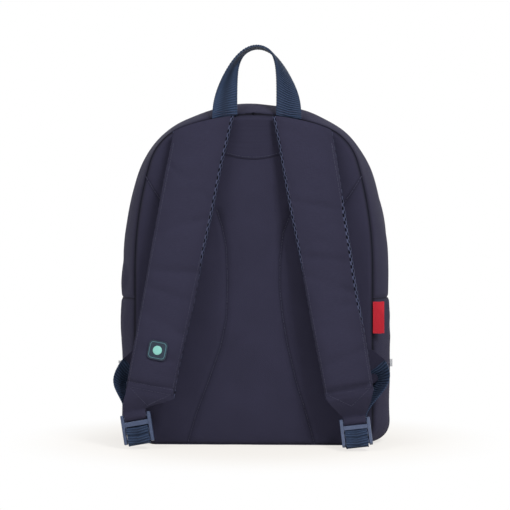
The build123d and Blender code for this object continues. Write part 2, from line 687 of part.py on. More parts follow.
def strap_group(name, side):
    """One shoulder strap with its tab, lock and adjuster webbing."""
    foam = (STRAP_MESH + SEW_GAP, STRAP_MESH + STRAP_FOAM - SEW_GAP)
    return {
        "strap_mesh_" + name: strap_layer(side, 0.0, STRAP_MESH),
        "strap_foam_" + name: strap_layer(side, *foam, edge=FOAM_EDGE),
        "strap_cover_" + name: strap_layer(side, STRAP_MESH + STRAP_FOAM, STRAP),
        "strap_tab_" + name: strap_tab(side),
        "ladder_lock_" + name: ladder_lock(side),
        "lock_webbing_" + name: lock_webbing(side),
        "adjuster_run_" + name: adjuster_run(side),
        "anchor_tab_" + name: anchor_tab(side),
        "reflector_" + name: reflector(side),
    }


def main():
    os.makedirs("parts", exist_ok=True)
    pieces = {**base_group(), **zip_group(), **pocket_group()}
    for name, side in SIDES.items():
        pieces.update(strap_group(name, side))
    pieces["grab_handle"] = grab_handle()
    pieces["strap_badge"] = badge(SIDES["left"])
    pieces["seam_label"] = seam_label()
    for name, piece in pieces.items():
        export_step(piece, f"parts/{name}.step")


main()
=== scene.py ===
import bisect
import functools
import math

import bpy
from mathutils import Matrix, Vector, noise
from mathutils.bvhtree import BVHTree
from mathutils.kdtree import KDTree


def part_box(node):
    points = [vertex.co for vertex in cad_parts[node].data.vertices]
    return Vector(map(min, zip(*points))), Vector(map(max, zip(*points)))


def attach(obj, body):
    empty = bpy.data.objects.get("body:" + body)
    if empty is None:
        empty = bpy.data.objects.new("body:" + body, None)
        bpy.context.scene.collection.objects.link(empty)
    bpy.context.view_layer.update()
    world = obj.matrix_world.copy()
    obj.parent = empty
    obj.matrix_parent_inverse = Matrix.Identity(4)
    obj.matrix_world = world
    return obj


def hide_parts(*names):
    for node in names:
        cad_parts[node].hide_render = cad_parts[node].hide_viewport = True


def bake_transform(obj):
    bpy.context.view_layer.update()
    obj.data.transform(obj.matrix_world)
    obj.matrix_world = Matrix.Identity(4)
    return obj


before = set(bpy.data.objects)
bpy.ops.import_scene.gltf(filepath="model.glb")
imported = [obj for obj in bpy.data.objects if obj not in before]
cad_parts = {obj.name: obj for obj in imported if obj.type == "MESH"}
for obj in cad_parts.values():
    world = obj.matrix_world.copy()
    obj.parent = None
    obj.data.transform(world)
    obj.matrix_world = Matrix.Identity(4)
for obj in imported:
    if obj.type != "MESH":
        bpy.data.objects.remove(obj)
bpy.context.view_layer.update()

# Camera. It stands level with the middle of the bag, square to the side that the wearer sees,
# and a little to one side of it.
VIEW_DISTANCE = 1.85
VIEW_WIDTH = 0.612
VIEW_HEIGHT = 0.2225
VIEW_MIDDLE_Y = -0.02
VIEW_TURN = math.radians(2.5)
SENSOR = 36.0
scene = bpy.context.scene
scene.view_settings.view_transform = "Standard"
bpy.ops.object.camera_add(
    location=(
        VIEW_DISTANCE * math.sin(VIEW_TURN),
        VIEW_MIDDLE_Y - VIEW_DISTANCE * math.cos(VIEW_TURN),
        VIEW_HEIGHT,
    ),
    rotation=(math.pi / 2, 0, VIEW_TURN),
)
scene.camera = bpy.context.object
scene.camera.data.sensor_width = SENSOR
scene.camera.data.lens = SENSOR * VIEW_DISTANCE / VIEW_WIDTH

# Studio. A white room gives an even light, four large soft lamps model the cloth, and the floor
# is a white sheet that keeps the bag's shadow and fades to plain white around it.
ROOM_LIGHT = 0.17
WHITE = (1, 1, 1, 1)
SHEET = (0.97, 0.94, 0.88, 1)
WARM_WHITE = (1.0, 0.90, 0.78, 1)
SHADOW_REACH = (0.12, 0.32)  # the floor's shadow starts to fade, and is gone, this far out
SHADOW_FADE = 0.72
LAMPS = (
    ((-1.4, -1.5, 1.8), 19.5, 1.2),
    ((1.1, -1.6, 1.9), 38.0, 0.7),
    ((-1.4, 2.2, 1.7), 20.0, 1.6),
    ((1.6, 2.1, 1.6), 20.0, 1.6),
)


def add(tree, kind, inputs=(), **options):
    """A shader node with its options set and its inputs given a value or linked to a socket."""
    made = tree.nodes.new("ShaderNode" + kind)
    for key, value in options.items():
        setattr(made, key, value)
    for key, value in dict(inputs).items():
        if isinstance(value, bpy.types.NodeSocket):
            tree.links.new(value, made.inputs[key])
        else:
            made.inputs[key].default_value = value
    return made


def math_node(tree, operation, *values):
    """The output of a Math node."""
    return add(tree, "Math", dict(enumerate(values)), operation=operation).outputs[0]


def bare_tree(block):
    """The emptied node tree of a world or a material."""
    block.use_nodes = True
    block.node_tree.nodes.clear()
    return block.node_tree


def seen_directly(tree):
    """1 for what the camera, a gloss or clear plastic sees, and 0 for the light that falls on the bag."""
    rays = add(tree, "LightPath").outputs
    seen = math_node(tree, "MAXIMUM", rays["Is Camera Ray"], rays["Is Glossy Ray"])
    return math_node(tree, "MAXIMUM", seen, rays["Is Transmission Ray"])


def tinted(tree, share, dark, light):
    """A colour between two, the first where the share is 0."""
    return add(tree, "Mix", {0: share, 6: dark, 7: light}, data_type="RGBA", clamp_factor=True).outputs[2]


for place, power, size in LAMPS:
    aim = (Vector((0, 0, 0.2)) - Vector(place)).to_track_quat("-Z", "Y").to_euler()
    bpy.ops.object.light_add(type="AREA", location=place, rotation=aim)
    bpy.context.object.data.size = size
    bpy.context.object.data.energy = power

room = bpy.data.worlds.new("room")
scene.world = room
tree = bare_tree(room)
strength = add(tree, "MapRange", {"Value": seen_directly(tree), "To Min": ROOM_LIGHT, "To Max": 1.0}).outputs[0]
light = add(tree, "Background", {"Color": WHITE, "Strength": strength})
tree.links.new(light.outputs[0], add(tree, "OutputWorld").inputs["Surface"])

bpy.ops.mesh.primitive_plane_add(size=40, location=(0, 0, -0.0004))
floor = bpy.context.object
floor.name = "floor"
floor_white = bpy.data.materials.new("floor_white")
tree = bare_tree(floor_white)
away = add(tree, "VectorMath", {0: add(tree, "TexCoord").outputs["Object"]}, operation="LENGTH").outputs["Value"]
fade = add(
    tree, "MapRange",
    {"Value": away, "From Min": SHADOW_REACH[0], "From Max": SHADOW_REACH[1], "To Min": SHADOW_FADE},
    interpolation_type="SMOOTHSTEP",
).outputs[0]
sheet = add(tree, "BsdfDiffuse", {"Color": SHEET})
glow = add(tree, "Emission", {"Color": tinted(tree, fade, WARM_WHITE, WHITE), "Strength": 1.0})
share = math_node(tree, "MULTIPLY", fade, seen_directly(tree))
mixed = add(tree, "MixShader", {0: share, 1: sheet.outputs[0], 2: glow.outputs[0]})
tree.links.new(mixed.outputs[0], add(tree, "OutputMaterial").inputs["Surface"])
floor.data.materials.append(floor_white)

# Side cloth above the zip's ends, on the wearer's side of the zip. One strip of coated polyester
# runs over the top of the bag from side to side. It is sewn into the back seam along one edge and
# topstitched to the zip tape along the other, and it swells between them.
CLOTH = 0.0016
CLOTH_STEP = 0.005
EDGE_TUCK = 0.0018
BACK_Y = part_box("back_panel")[1].y
FRONT_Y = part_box("front_panel_upper")[0].y
FOLD_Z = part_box("gusset_rear")[0].z
BULGE_Y = -0.022
ZIP_Y = 0.020
TAPE = 0.012
CORNER = 0.024


def polar(centre, radius, degrees):
    """A point at an angle from straight up, turning towards +X."""
    angle = math.radians(degrees)
    return centre[0] + radius * math.sin(angle), centre[1] + radius * math.cos(angle)


def arched(top, half, crown_end, shoulder, shoulder_end, hip):
    """Right half of an arched outline, as arcs and lines from its top middle to its base middle."""
    sine_crown = math.sin(math.radians(crown_end))
    sine_shoulder = math.sin(math.radians(shoulder_end))
    crown = (half - shoulder * (sine_shoulder - sine_crown) - hip * (1 - sine_shoulder)) / sine_crown
    crown_centre = (0.0, top - crown)
    shoulder_centre = polar(polar(crown_centre, crown, crown_end), -shoulder, crown_end)
    hip_centre = polar(polar(shoulder_centre, shoulder, shoulder_end), -hip, shoulder_end)
    arcs = [
        (crown_centre, crown, 0.0, crown_end),
        (shoulder_centre, shoulder, crown_end, shoulder_end),
        (hip_centre, hip, shoulder_end, 90.0),
    ]
    return footed(arcs, half)


def footed(arcs, foot):
    """Arcs finished with the straight side, the rounded corner and the base line."""
    side = (polar(*arcs[-1][:2], arcs[-1][3]), (foot, CORNER))
    turn = ((foot - CORNER, CORNER), CORNER, 90.0, 180.0)
    return arcs + [side, turn, ((foot - CORNER, 0.0), (0.0, 0.0))]


SEAM = arched(0.388, 0.140, 20.0, 0.062, 74.0, 0.460)
BULGE = arched(0.404, 0.161, 23.6, 0.110, 72.0, 0.420)
ZIP_RADIUS = 0.158
ZIP_CENTRE = (0.0, 0.240)
ZIP_END = math.degrees(math.acos((0.172 - ZIP_CENTRE[1]) / ZIP_RADIUS))
ZIP_TURNS = (0.0, 30.0, 72.0, ZIP_END)
ZIP = footed([(ZIP_CENTRE, ZIP_RADIUS, start, end) for start, end in zip(ZIP_TURNS, ZIP_TURNS[1:])], 0.152)
LENGTH_STEPS = 60


def spot(shape, u):
    """Place and outward direction on an outline: u is 0 at the top middle, and each part is 1 long."""
    sign, u = (-1 if u < 0 else 1), abs(u)
    part = min(int(u), len(shape) - 1)
    share = u - part
    piece = shape[part]
    if len(piece) == 4:
        centre, radius, start, end = piece
        x, z = polar(centre, radius, start + (end - start) * share)
        across, up = (x - centre[0]) / radius, (z - centre[1]) / radius
    else:
        (x0, z0), (x1, z1) = piece
        x, z = x0 + (x1 - x0) * share, z0 + (z1 - z0) * share
        length = math.hypot(x1 - x0, z1 - z0)
        across, up = -(z1 - z0) / length, (x1 - x0) / length
    return Vector((sign * x, 0, z)), Vector((sign * across, 0, up))


def lengths(shape):
    """Pairs of length along an outline and u, for going from one to the other."""
    rows, run, last = [], 0.0, None
    for step in range(LENGTH_STEPS * len(shape) + 1):
        here = spot(shape, step / LENGTH_STEPS)[0]
        run += (here - last).length if last else 0.0
        last = here
        rows.append((run, step / LENGTH_STEPS))
    return rows


def between(value, low=0.0, high=1.0):
    """A value kept between two others."""
    return max(low, min(high, value))


def at_length(rows, length):
    """u at a length from the top middle, negative on the left."""
    far = abs(length)
    after = between(bisect.bisect(rows, (far, 0.0)), 1, len(rows) - 1)
    (run0, u0), (run1, u1) = rows[after - 1], rows[after]
    return math.copysign(u0 + (u1 - u0) * between((far - run0) / (run1 - run0)), length)


def length_at(rows, u):
    """Length from the top middle to u."""
    step = min(int(u * LENGTH_STEPS), len(rows) - 2)
    return rows[step][0] + (rows[step + 1][0] - rows[step][0]) * (u * LENGTH_STEPS - step)


SEAM_RUN = lengths(SEAM)
ROUNDING = 1.5


def shell(u, y):
    """A point on the bag's side cloth at a depth, and its outward direction, rounder than its seams."""
    depths = (BACK_Y, BULGE_Y, ZIP_Y - TAPE, ZIP_Y + TAPE, FRONT_Y)
    spots = [spot(shape, u) for shape in (SEAM, BULGE, ZIP, ZIP, SEAM)]
    part = between(bisect.bisect(depths, y) - 1, 0, 3)
    span = depths[part + 1] - depths[part]
    start, end = spots[part][0], spots[part + 1][0]
    slope = (end - start) / span

    def through(index):
        if index in (0, 4):
            return slope * ROUNDING
        before, after = spots[index - 1][0], spots[index + 1][0]
        return (after - before) / (depths[index + 1] - depths[index - 1])

    t = between((y - depths[part]) / span)
    point = (
        start * (2 * t**3 - 3 * t**2 + 1)
        + through(part) * ((t**3 - 2 * t**2 + t) * span)
        + end * (3 * t**2 - 2 * t**3)
        + through(part + 1) * ((t**3 - t**2) * span)
    )
    outward = spots[part][1].lerp(spots[part + 1][1], t).normalized()
    return Vector((point.x, y, point.z)), outward


def turning_point(low, high, holds):
    """Where a test that holds at low and fails at high stops holding."""
    for _ in range(24):
        middle = (low + high) / 2
        if holds(middle):
            low = middle
        else:
            high = middle
    return low


def evenly(start, end, count):
    """Values from start to end, in an even number of steps."""
    return [start + (end - start) * step / count for step in range(count + 1)]


def spaced(start, end, step, near=(0.0008, 0.0022, 0.0045, 0.008)):
    """Distances from start to end, close together at the two sewn ends."""
    first, last = near[-1], end - start - near[-1]
    ends = [0.0, *near[:-1]]
    middle = evenly(first, last, max(round((last - first) / step), 1))
    return [start + d for d in ends + middle + [end - start - d for d in reversed(ends)]]


def grid(name, columns, rows, place):
    """A sheet of quads whose corners are laid at place(column, row), with a UV map in metres."""
    bpy.ops.object.select_all(action="DESELECT")
    bpy.ops.mesh.primitive_grid_add(x_subdivisions=len(columns) - 1, y_subdivisions=len(rows) - 1, size=2)
    piece = bpy.context.object
    piece.name = piece.data.name = name
    flat = []
    for vertex in piece.data.vertices:
        i = round((vertex.co.x + 1) / 2 * (len(columns) - 1))
        j = round((vertex.co.y + 1) / 2 * (len(rows) - 1))
        flat.append((columns[i], rows[j]))
        vertex.co = place(columns[i], rows[j])
    piece.data.uv_layers[0].name = "cloth"
    for loop in piece.data.loops:
        piece.data.uv_layers[0].data[loop.index].uv = flat[loop.vertex_index]
    return piece


def facing_away(piece, inside):
    """Turns a sheet's faces so that most look away from a point inside."""
    total = sum((f.normal.dot(f.center - Vector(inside)) * f.area for f in piece.data.polygons))
    if total < 0:
        piece.data.flip_normals()


def only(piece):
    """Makes a piece the only one that operators act on."""
    bpy.ops.object.select_all(action="DESELECT")
    piece.select_set(True)
    bpy.context.view_layer.objects.active = piece


def apply_all(piece):
    """Applies a piece's modifiers in their order."""
    only(piece)
    for modifier in list(piece.modifiers):
        bpy.ops.object.modifier_apply(modifier=modifier.name)


def smooth_faces(piece):
    """Shades all of a piece's faces smooth."""
    piece.data.polygons.foreach_set("use_smooth", [True] * len(piece.data.polygons))


def thicken(piece, thickness, smooth=0):
    """Rounds a sheet by subdivision and gives it its thickness, inwards and not below the floor."""
    if smooth:
        rounder = piece.modifiers.new("round", "SUBSURF")
        rounder.levels = rounder.render_levels = smooth
        rounder.boundary_smooth = "PRESERVE_CORNERS"
    wall = piece.modifiers.new("wall", "SOLIDIFY")
    wall.thickness = thickness
    wall.offset = -1
    apply_all(piece)
    for vertex in piece.data.vertices:
        vertex.co.z = max(vertex.co.z, 0.0)
    smooth_faces(piece)
    bpy.ops.object.shade_smooth_by_angle(angle=math.radians(50))


def dress(piece, material, slot, *nodes):
    """Gives a piece its material, and hides the CAD nodes that it stands for. The slot is not used."""
    piece.data.materials.clear()
    piece.data.materials.append(material)
    if nodes:
        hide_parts(*nodes)
    return piece


def near(distance, reach):
    """1 on a seam, and 0 beyond a reach from it."""
    return math.exp(-((distance / reach) ** 2))


def tuck(distance, depth=0.0032, reach=0.0022):
    """How far cloth is drawn in beside a seam."""
    return depth * near(distance, reach)


def rumple(point, size, height):
    """Gentle unevenness of filled cloth."""
    return height * noise.noise(point / size)


def groove(point, line, width):
    """1 on a line of points in the bag's X and Z, and 0 beyond a width from it."""
    if not min(p[0] for p in line) - 4 * width < point.x < max(p[0] for p in line) + 4 * width:
        return 0.0
    best = 1.0
    for (x0, z0), (x1, z1) in zip(line, line[1:]):
        dx, dz = x1 - x0, z1 - z0
        t = between(((point.x - x0) * dx + (point.z - z0) * dz) / (dx * dx + dz * dz))
        best = min(best, math.hypot(point.x - x0 - dx * t, point.z - z0 - dz * t))
    return near(best, width)


def paint_seam_shade(piece, depth_at):
    """Stores painted shade on each corner, from 0 to 1, which darkens the cloth's colour in its seams' grooves."""
    layer = piece.data.attributes.new("painted_seam_shade", "FLOAT", "POINT")
    layer.data.foreach_set("value", [depth_at(vertex.co) for vertex in piece.data.vertices])


def colour(*steps):
    """A colour given in steps of the screen, from 0 to 255, as the shader's linear values."""
    return (*[c / 255 / 12.92 if c < 11 else ((c / 255 + 0.055) / 1.055) ** 2.4 for c in steps], 1)


def new_group(name, **extra):
    """A node group for a pattern, with two colours and any other inputs, and its input sockets."""
    group = bpy.data.node_groups.new(name, "ShaderNodeTree")
    inputs = {"Vector": "Vector", "Light": "Color", "Dark": "Color", **extra}
    outputs = {"Color": "Color", "Roughness": "Float", "Height": "Float"}
    for way, sockets in (("INPUT", inputs), ("OUTPUT", outputs)):
        for title, kind in sockets.items():
            group.interface.new_socket(name=title, in_out=way, socket_type="NodeSocket" + kind)
    return group, group.nodes.new("NodeGroupInput").outputs


def two_toned(group, given, share):
    """The pattern's colour, from its dark one to its light one."""
    return tinted(group, share, given["Dark"], given["Light"])


def put_out(group, tone, rough, height):
    """Ends a pattern with its colour, roughness and height."""
    out = group.nodes.new("NodeGroupOutput").inputs
    for title, socket in (("Color", tone), ("Roughness", rough), ("Height", height)):
        group.links.new(socket, out[title])


def speckle(group, given, scale, detail, rough=0.5):
    """Noise on a pattern's own coordinates."""
    values = {"Vector": given["Vector"], "Scale": scale, "Detail": detail, "Roughness": rough}
    return add(group, "TexNoise", values).outputs[0]


def wave(group, value, turns):
    """The sine of a value times a number of turns."""
    return math_node(group, "SINE", math_node(group, "MULTIPLY", value, turns))


# Painted shade: where a piece's seam attribute is high, the weave's colour is mixed towards this near-black, standing
# in for the shade in seam and quilting grooves.
SEAM_SHADE = (0.003, 0.003, 0.006, 1)
WEAVE, given = new_group("plain_weave", Yarn="Float", Mottle="Float", Seam="Float")
parts = add(WEAVE, "SeparateXYZ", {0: given["Vector"]}).outputs
turns = math_node(WEAVE, "DIVIDE", math.pi, given["Yarn"])
over = math_node(WEAVE, "MULTIPLY", wave(WEAVE, parts[0], turns), wave(WEAVE, parts[1], turns))
slub = speckle(WEAVE, given, 900.0, 2.0)
wide = speckle(WEAVE, given, 22.0, 3.0)
shade = math_node(WEAVE, "MULTIPLY_ADD", over, 0.16, 0.5)
shade = math_node(WEAVE, "ADD", shade, math_node(WEAVE, "MULTIPLY_ADD", slub, 0.5, -0.25))
uneven = math_node(WEAVE, "MULTIPLY", math_node(WEAVE, "SUBTRACT", wide, 0.5), given["Mottle"])
tone = two_toned(WEAVE, given, math_node(WEAVE, "ADD", shade, uneven))
put_out(
    WEAVE,
    tinted(WEAVE, given["Seam"], tone, SEAM_SHADE),
    math_node(WEAVE, "MULTIPLY_ADD", wide, 0.25, 0.72),
    math_node(WEAVE, "ADD", math_node(WEAVE, "MULTIPLY", over, 0.6), slub),
)


def patterned(name, group, values, vector="cloth", bump=0.0003, strength=0.6, **sockets):
    """A material whose colour, roughness and relief come from a node group."""
    made = bpy.data.materials.new(name)
    made.use_nodes = True
    tree = made.node_tree
    shader = tree.nodes["Principled BSDF"]
    if vector == "object":
        where = add(tree, "TexCoord").outputs["Object"]
    else:
        where = add(tree, "UVMap", uv_map=vector).outputs[0]
    pattern = tree.nodes.new("ShaderNodeGroup")
    pattern.node_tree = group
    tree.links.new(where, pattern.inputs["Vector"])
    for key, value in values.items():
        pattern.inputs[key].default_value = value
    # The seam attribute carries painted shade; pieces without it get none.
    if "Seam" in pattern.inputs:
        tree.links.new(add(tree, "Attribute", attribute_name="painted_seam_shade").outputs["Fac"], pattern.inputs["Seam"])
    relief = add(tree, "Bump", {"Strength": strength, "Distance": bump, "Height": pattern.outputs["Height"]})
    tree.links.new(pattern.outputs["Color"], shader.inputs["Base Color"])
    tree.links.new(pattern.outputs["Roughness"], shader.inputs["Roughness"])
    tree.links.new(relief.outputs[0], shader.inputs["Normal"])
    for key, value in sockets.items():
        shader.inputs[key.replace("_", " ")].default_value = value
    return made


navy_cloth = patterned(
    "navy_cloth", WEAVE,
    {"Yarn": 0.0005, "Light": colour(61, 60, 82), "Dark": colour(42, 41, 59), "Mottle": 0.55},
    Sheen_Weight=0.02, Sheen_Roughness=0.5, Specular_IOR_Level=0.10,
)


def in_navy(piece, inside, seam_shade_at, *nodes, thickness=CLOTH):
    """Turns a sheet of the bag's cloth outwards and gives it its painted shade along its seams, its thickness and
    material.
    """
    facing_away(piece, inside)
    if seam_shade_at:
        paint_seam_shade(piece, seam_shade_at)
    thicken(piece, thickness, smooth=1)
    dress(piece, navy_cloth, "bag_cloth", *nodes)


@functools.cache
def top_edge(y):
    """Length along the back seam's outline from the top middle to the height where the lid folds."""
    return length_at(SEAM_RUN, turning_point(0.0, 5.0, lambda u: shell(u, y)[0].z > FOLD_Z))


REAR_RUN = top_edge(BACK_Y)
LEFT_CREASE = [(-0.1560, 0.217), (-0.1500, 0.195), (-0.1560, 0.178)]


def rear_cloth(along, y):
    u = at_length(SEAM_RUN, along / REAR_RUN * top_edge(y))
    point, outward = shell(u, y)
    drawn = tuck(y - BACK_Y) + tuck(REAR_RUN - abs(along), EDGE_TUCK)
    free = min((y - BACK_Y) / 0.02, (ZIP_Y - TAPE - y) / 0.01, 1.0)
    drawn -= max(free, 0.0) * rumple(point, 0.045, 0.0022)
    drawn += 0.0016 * groove(point, LEFT_CREASE, 0.004)
    return point - outward * drawn


rear = grid(
    "gusset_rear_cloth",
    spaced(-REAR_RUN, REAR_RUN, CLOTH_STEP),
    spaced(BACK_Y, ZIP_Y - TAPE + 0.001, CLOTH_STEP),
    rear_cloth,
)
# Painted shade along the back seam and the zip's seam.
in_navy(
    rear, (0, 0, 0.2),
    lambda p: 0.9 * near(p.y - BACK_Y, 0.0030) + 0.5 * near(ZIP_Y - TAPE - p.y, 0.0016),
    "gusset_rear",
)
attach(rear, "bag")

# Side panels below the zip's ends. Each is one piece of the same cloth from the back seam to the
# front seam, gathered a little where it is sewn to the strip over it, and it turns under the
# rounded lower corner to meet the base.
BASE_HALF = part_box("base_panel")[1].x
GATHER = 0.0011
GATHER_STEP = 0.017


@functools.cache
def foot_edge(y):
    """Length along the back seam's outline to where the side panel meets the base."""
    return length_at(SEAM_RUN, turning_point(5.0, 6.0, lambda u: shell(u, y)[0].x > BASE_HALF))


SIDE_RUN = foot_edge(BACK_Y) - REAR_RUN


def side_cloth(sign, along, y):
    start, end = top_edge(y), foot_edge(y)
    point, outward = shell(at_length(SEAM_RUN, sign * (start + (end - start) * along / SIDE_RUN)), y)
    drawn = tuck(y - BACK_Y) + tuck(FRONT_Y - y) + tuck(along, EDGE_TUCK)
    free = max(min((y - BACK_Y) / 0.015, (FRONT_Y - y) / 0.015, along / 0.012, point.z / 0.03, 1.0), 0.0)
    folds = math.cos(2 * math.pi * (y / GATHER_STEP + noise.noise(point / 0.03)))
    drawn += free * GATHER * folds * math.exp(-along / 0.035)
    drawn -= free * rumple(point, 0.05, 0.0024)
    point -= outward * drawn
    return Vector((point.x, point.y, max(point.z, 0.0)))


for name, sign in (("left", -1), ("right", 1)):
    panel = grid(
        "side_panel_cloth_" + name,
        spaced(0, SIDE_RUN, CLOTH_STEP),
        spaced(BACK_Y, FRONT_Y, CLOTH_STEP),
        functools.partial(side_cloth, sign),
    )
    # Painted shade along the back and front seams and under the fold at the top.
    in_navy(
        panel, (0, 0, 0.08),
        lambda p: (
            0.9 * near(p.y - BACK_Y, 0.0030) + 0.8 * near(FRONT_Y - p.y, 0.0024) + 0.7 * near(FOLD_Z - p.z, 0.0018)
        ),
        "side_panel_" + name,
    )
    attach(panel, "bag")

# Base. A flat piece of the same cloth between the two side panels, over a stiff board that keeps
# it flat. It is the face that the bag stands on.
base = grid(
    "base_cloth",
    spaced(-BASE_HALF - 0.002, BASE_HALF + 0.002, 0.012),
    spaced(BACK_Y, FRONT_Y, 0.012),
    lambda x, y: Vector((x, y, max(0, rumple(Vector((x, y, 0)), 0.03, 0.0006)))),
)
facing_away(base, (0, 0, 0.1))
thicken(base, CLOTH)
dress(base, navy_cloth, "bag_cloth", "base_panel")
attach(base, "bag")

BOARD, given = new_group("pressed_board")
fibre = speckle(BOARD, given, 260.0, 5.0)
put_out(
    BOARD,
    two_toned(BOARD, given, fibre),
    math_node(BOARD, "MULTIPLY_ADD", fibre, 0.3, 0.6),
    fibre,
)
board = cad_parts["base_stiffener"]
board_finish = patterned(
    "stiff_board", BOARD, {"Light": colour(74, 72, 70), "Dark": colour(38, 37, 38)}, vector="object"
)
dress(board, board_finish, "stiffener_board")

# Padded back panel. One piece of cloth over foam, sewn round its edge into the back seam and
# quilted through by two long curved lines and by the line under the yoke.
BACK_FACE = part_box("back_panel")[0].y
BACK_PLUMP = 0.0034
BACK_QUILT = (
    [(-0.0425, 0.275), (-0.0365, 0.257), (-0.0313, 0.231), (-0.0299, 0.190),
     (-0.0311, 0.150), (-0.0381, 0.116), (-0.0533, 0.0725), (-0.0662, 0.0385), (-0.0770, 0.002)],
    [(0.0460, 0.278), (0.0420, 0.266), (0.0350, 0.249), (0.0313, 0.217),
     (0.0311, 0.184), (0.0346, 0.150), (0.0404, 0.116), (0.0510, 0.0725), (0.0615, 0.0385), (0.0715, 0.002)],
    [(-0.1310, 0.322), (-0.1170, 0.299), (-0.1040, 0.280), (-0.0850, 0.258)],
    [(0.1310, 0.322), (0.1170, 0.299), (0.1040, 0.280), (0.0850, 0.258)],
)
SEAM_HALF = 0.140
PANEL_RUN = length_at(SEAM_RUN, 5.0)
PUFF_PRESSURE = 1.5


def finder(shape, fine):
    """A search tree of points on an outline, for finding the distance to it."""
    half = fine * len(shape)
    tree = KDTree(2 * half + 1)
    for step in range(2 * half + 1):
        tree.insert(spot(shape, (step - half) / fine)[0], step)
    tree.balance()
    return tree


SEAM_TREE = finder(SEAM, 400)


def off_seam(point):
    """Distance from a point of the back or front to the seam round it."""
    return SEAM_TREE.find((point.x, 0, point.z))[2]


def quilted(point, width):
    """1 on a quilting line of the back, and 0 beyond a width from it."""
    return max(groove(point, quilt, width) for quilt in BACK_QUILT)


def back_swell(point):
    """How far the padded back stands out from the plane of its seam."""
    edge = off_seam(point)
    swell = BACK_PLUMP * (1 - math.exp(-edge / 0.010)) * between((0.376 - point.z) / 0.05, low=0.08)
    swell += 0.0030 * max(0, 1 - (point.x / 0.14) ** 2) * between((0.33 - point.z) / 0.12) * min(1, edge / 0.05)
    swell -= 0.0022 * quilted(point, 0.0030) * min(1, edge / 0.006)
    swell += min(1, edge / 0.03) * rumple(point, 0.055, 0.0012) * between((0.37 - point.z) / 0.05)
    return swell - 0.0026 * near(edge, 0.0026)


def panel_row(column, length, inset=0.0):
    """A point of a flat panel with the seam's outline, at a column across it and a length down its edge."""
    place, outward = spot(SEAM, at_length(SEAM_RUN, length))
    place -= outward * inset
    return Vector((place.x * column / SEAM_HALF, 0, max(place.z, inset)))


def back_cloth(column, length):
    point = panel_row(column, length)
    return Vector((point.x, BACK_FACE - back_swell(point), point.z))


def puff(piece, held, pressure, cap):
    """Fills a sewn sheet as stuffing would: its held corners stay, and the rest moves by at most cap."""
    group = piece.vertex_groups.new(name="held")
    group.add(held, 1.0, "REPLACE")
    cloth = piece.modifiers.new("cloth", "CLOTH")
    cloth.settings.vertex_group_mass = "held"
    cloth.settings.use_pressure = True
    cloth.settings.uniform_pressure_force = pressure
    cloth.settings.effector_weights.gravity = 0
    cloth.settings.tension_stiffness = cloth.settings.compression_stiffness = 12
    cloth.settings.bending_stiffness = 0.4
    cloth.point_cache.frame_start, cloth.point_cache.frame_end = 1, 20
    for step in range(1, 21):
        scene.frame_set(step)
    moved = piece.evaluated_get(bpy.context.evaluated_depsgraph_get()).data.vertices
    pushed = [new.co - old.co for new, old in zip(moved, piece.data.vertices)]
    piece.modifiers.remove(cloth)
    for vertex, push in zip(piece.data.vertices, pushed):
        vertex.co += push.normalized() * cap * math.tanh(push.length / cap) if push.length else push
    piece.vertex_groups.remove(group)
    scene.frame_set(1)


def merged(piece, closed=False):
    """Joins the corners that lie on each other, and turns a closed piece's faces outwards."""
    only(piece)
    bpy.ops.object.mode_set(mode="EDIT")
    bpy.ops.mesh.select_all(action="SELECT")
    bpy.ops.mesh.remove_doubles(threshold=0.000002)
    if closed:
        bpy.ops.mesh.normals_make_consistent(inside=False)
    bpy.ops.object.mode_set(mode="OBJECT")


back = grid("back_panel_cloth", spaced(-SEAM_HALF, SEAM_HALF, 0.0034), spaced(0, PANEL_RUN, 0.0036), back_cloth)
merged(back)
facing_away(back, (0, 0, 0.2))
sewn = [
    v.index for v in back.data.vertices
    if off_seam(v.co) < 0.006 or v.co.z > 0.33 or quilted(v.co, 0.0035) > 0.4
]
puff(back, sewn, PUFF_PRESSURE, 0.004)
thicken(back, CLOTH, smooth=1)
# Painted shade in the quilting lines' grooves and along the edge seam.
paint_seam_shade(back, lambda p: max(0.42 * quilted(p, 0.0016), 0.95 * near(off_seam(p), 0.0022)))
dress(back, navy_cloth, "bag_cloth", "back_panel")
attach(back, "bag")

# Yoke. A doubled strip across the top of the back, under the straps' ends and the handle's feet,
# folded under and topstitched along its lower edge.
YOKE_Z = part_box("back_yoke")[0].z
YOKE_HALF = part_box("back_yoke")[1].x
YOKE_HEIGHT = 0.052
YOKE_CLOTH = 0.0009
YOKE_SAG = 0.0050


def length_for_x(x):
    """Length down the seam's edge from its top middle to a place beside it."""
    return turning_point(0.0, 0.16, lambda run: spot(SEAM, at_length(SEAM_RUN, run))[0].x < x)


def yoke_foot(x):
    """Height of the yoke's lower edge, which sags in its middle."""
    return YOKE_Z + YOKE_SAG * (min(abs(x) / 0.030, 1) ** 2 - 0.4)


def yoke_cloth(x, share):
    top = panel_row(SEAM_HALF, length_for_x(abs(x))).z - 0.0016
    low = yoke_foot(x)
    point = Vector((x, 0, low + (top - low) * share))
    folded = 0.0004 * near(point.z - low, 0.0012)
    lift = 0.0008 - 0.0030 * near(top - point.z, 0.0022)
    return Vector((x, BACK_FACE - back_swell(point) - lift + folded, point.z))


yoke = grid(
    "back_yoke_cloth",
    spaced(-YOKE_HALF, YOKE_HALF, CLOTH_STEP),
    [up / YOKE_HEIGHT for up in spaced(0, YOKE_HEIGHT, 0.004)],
    yoke_cloth,
)
# Painted shade along the yoke's topstitched lower edge.
yoke_seam_shade = lambda p: 0.45 * near(p.z - yoke_foot(p.x), 0.0016)
in_navy(yoke, (0, 0, 0.36), yoke_seam_shade, "back_yoke", thickness=YOKE_CLOTH)
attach(yoke, "bag")

# Front of the bag. One piece of cloth with the back's outline, and the narrow strip on the far side
# of the zip, which is sewn to it all round.
FRONT_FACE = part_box("front_panel_upper")[1].y
FRONT_PLUMP = 0.0016


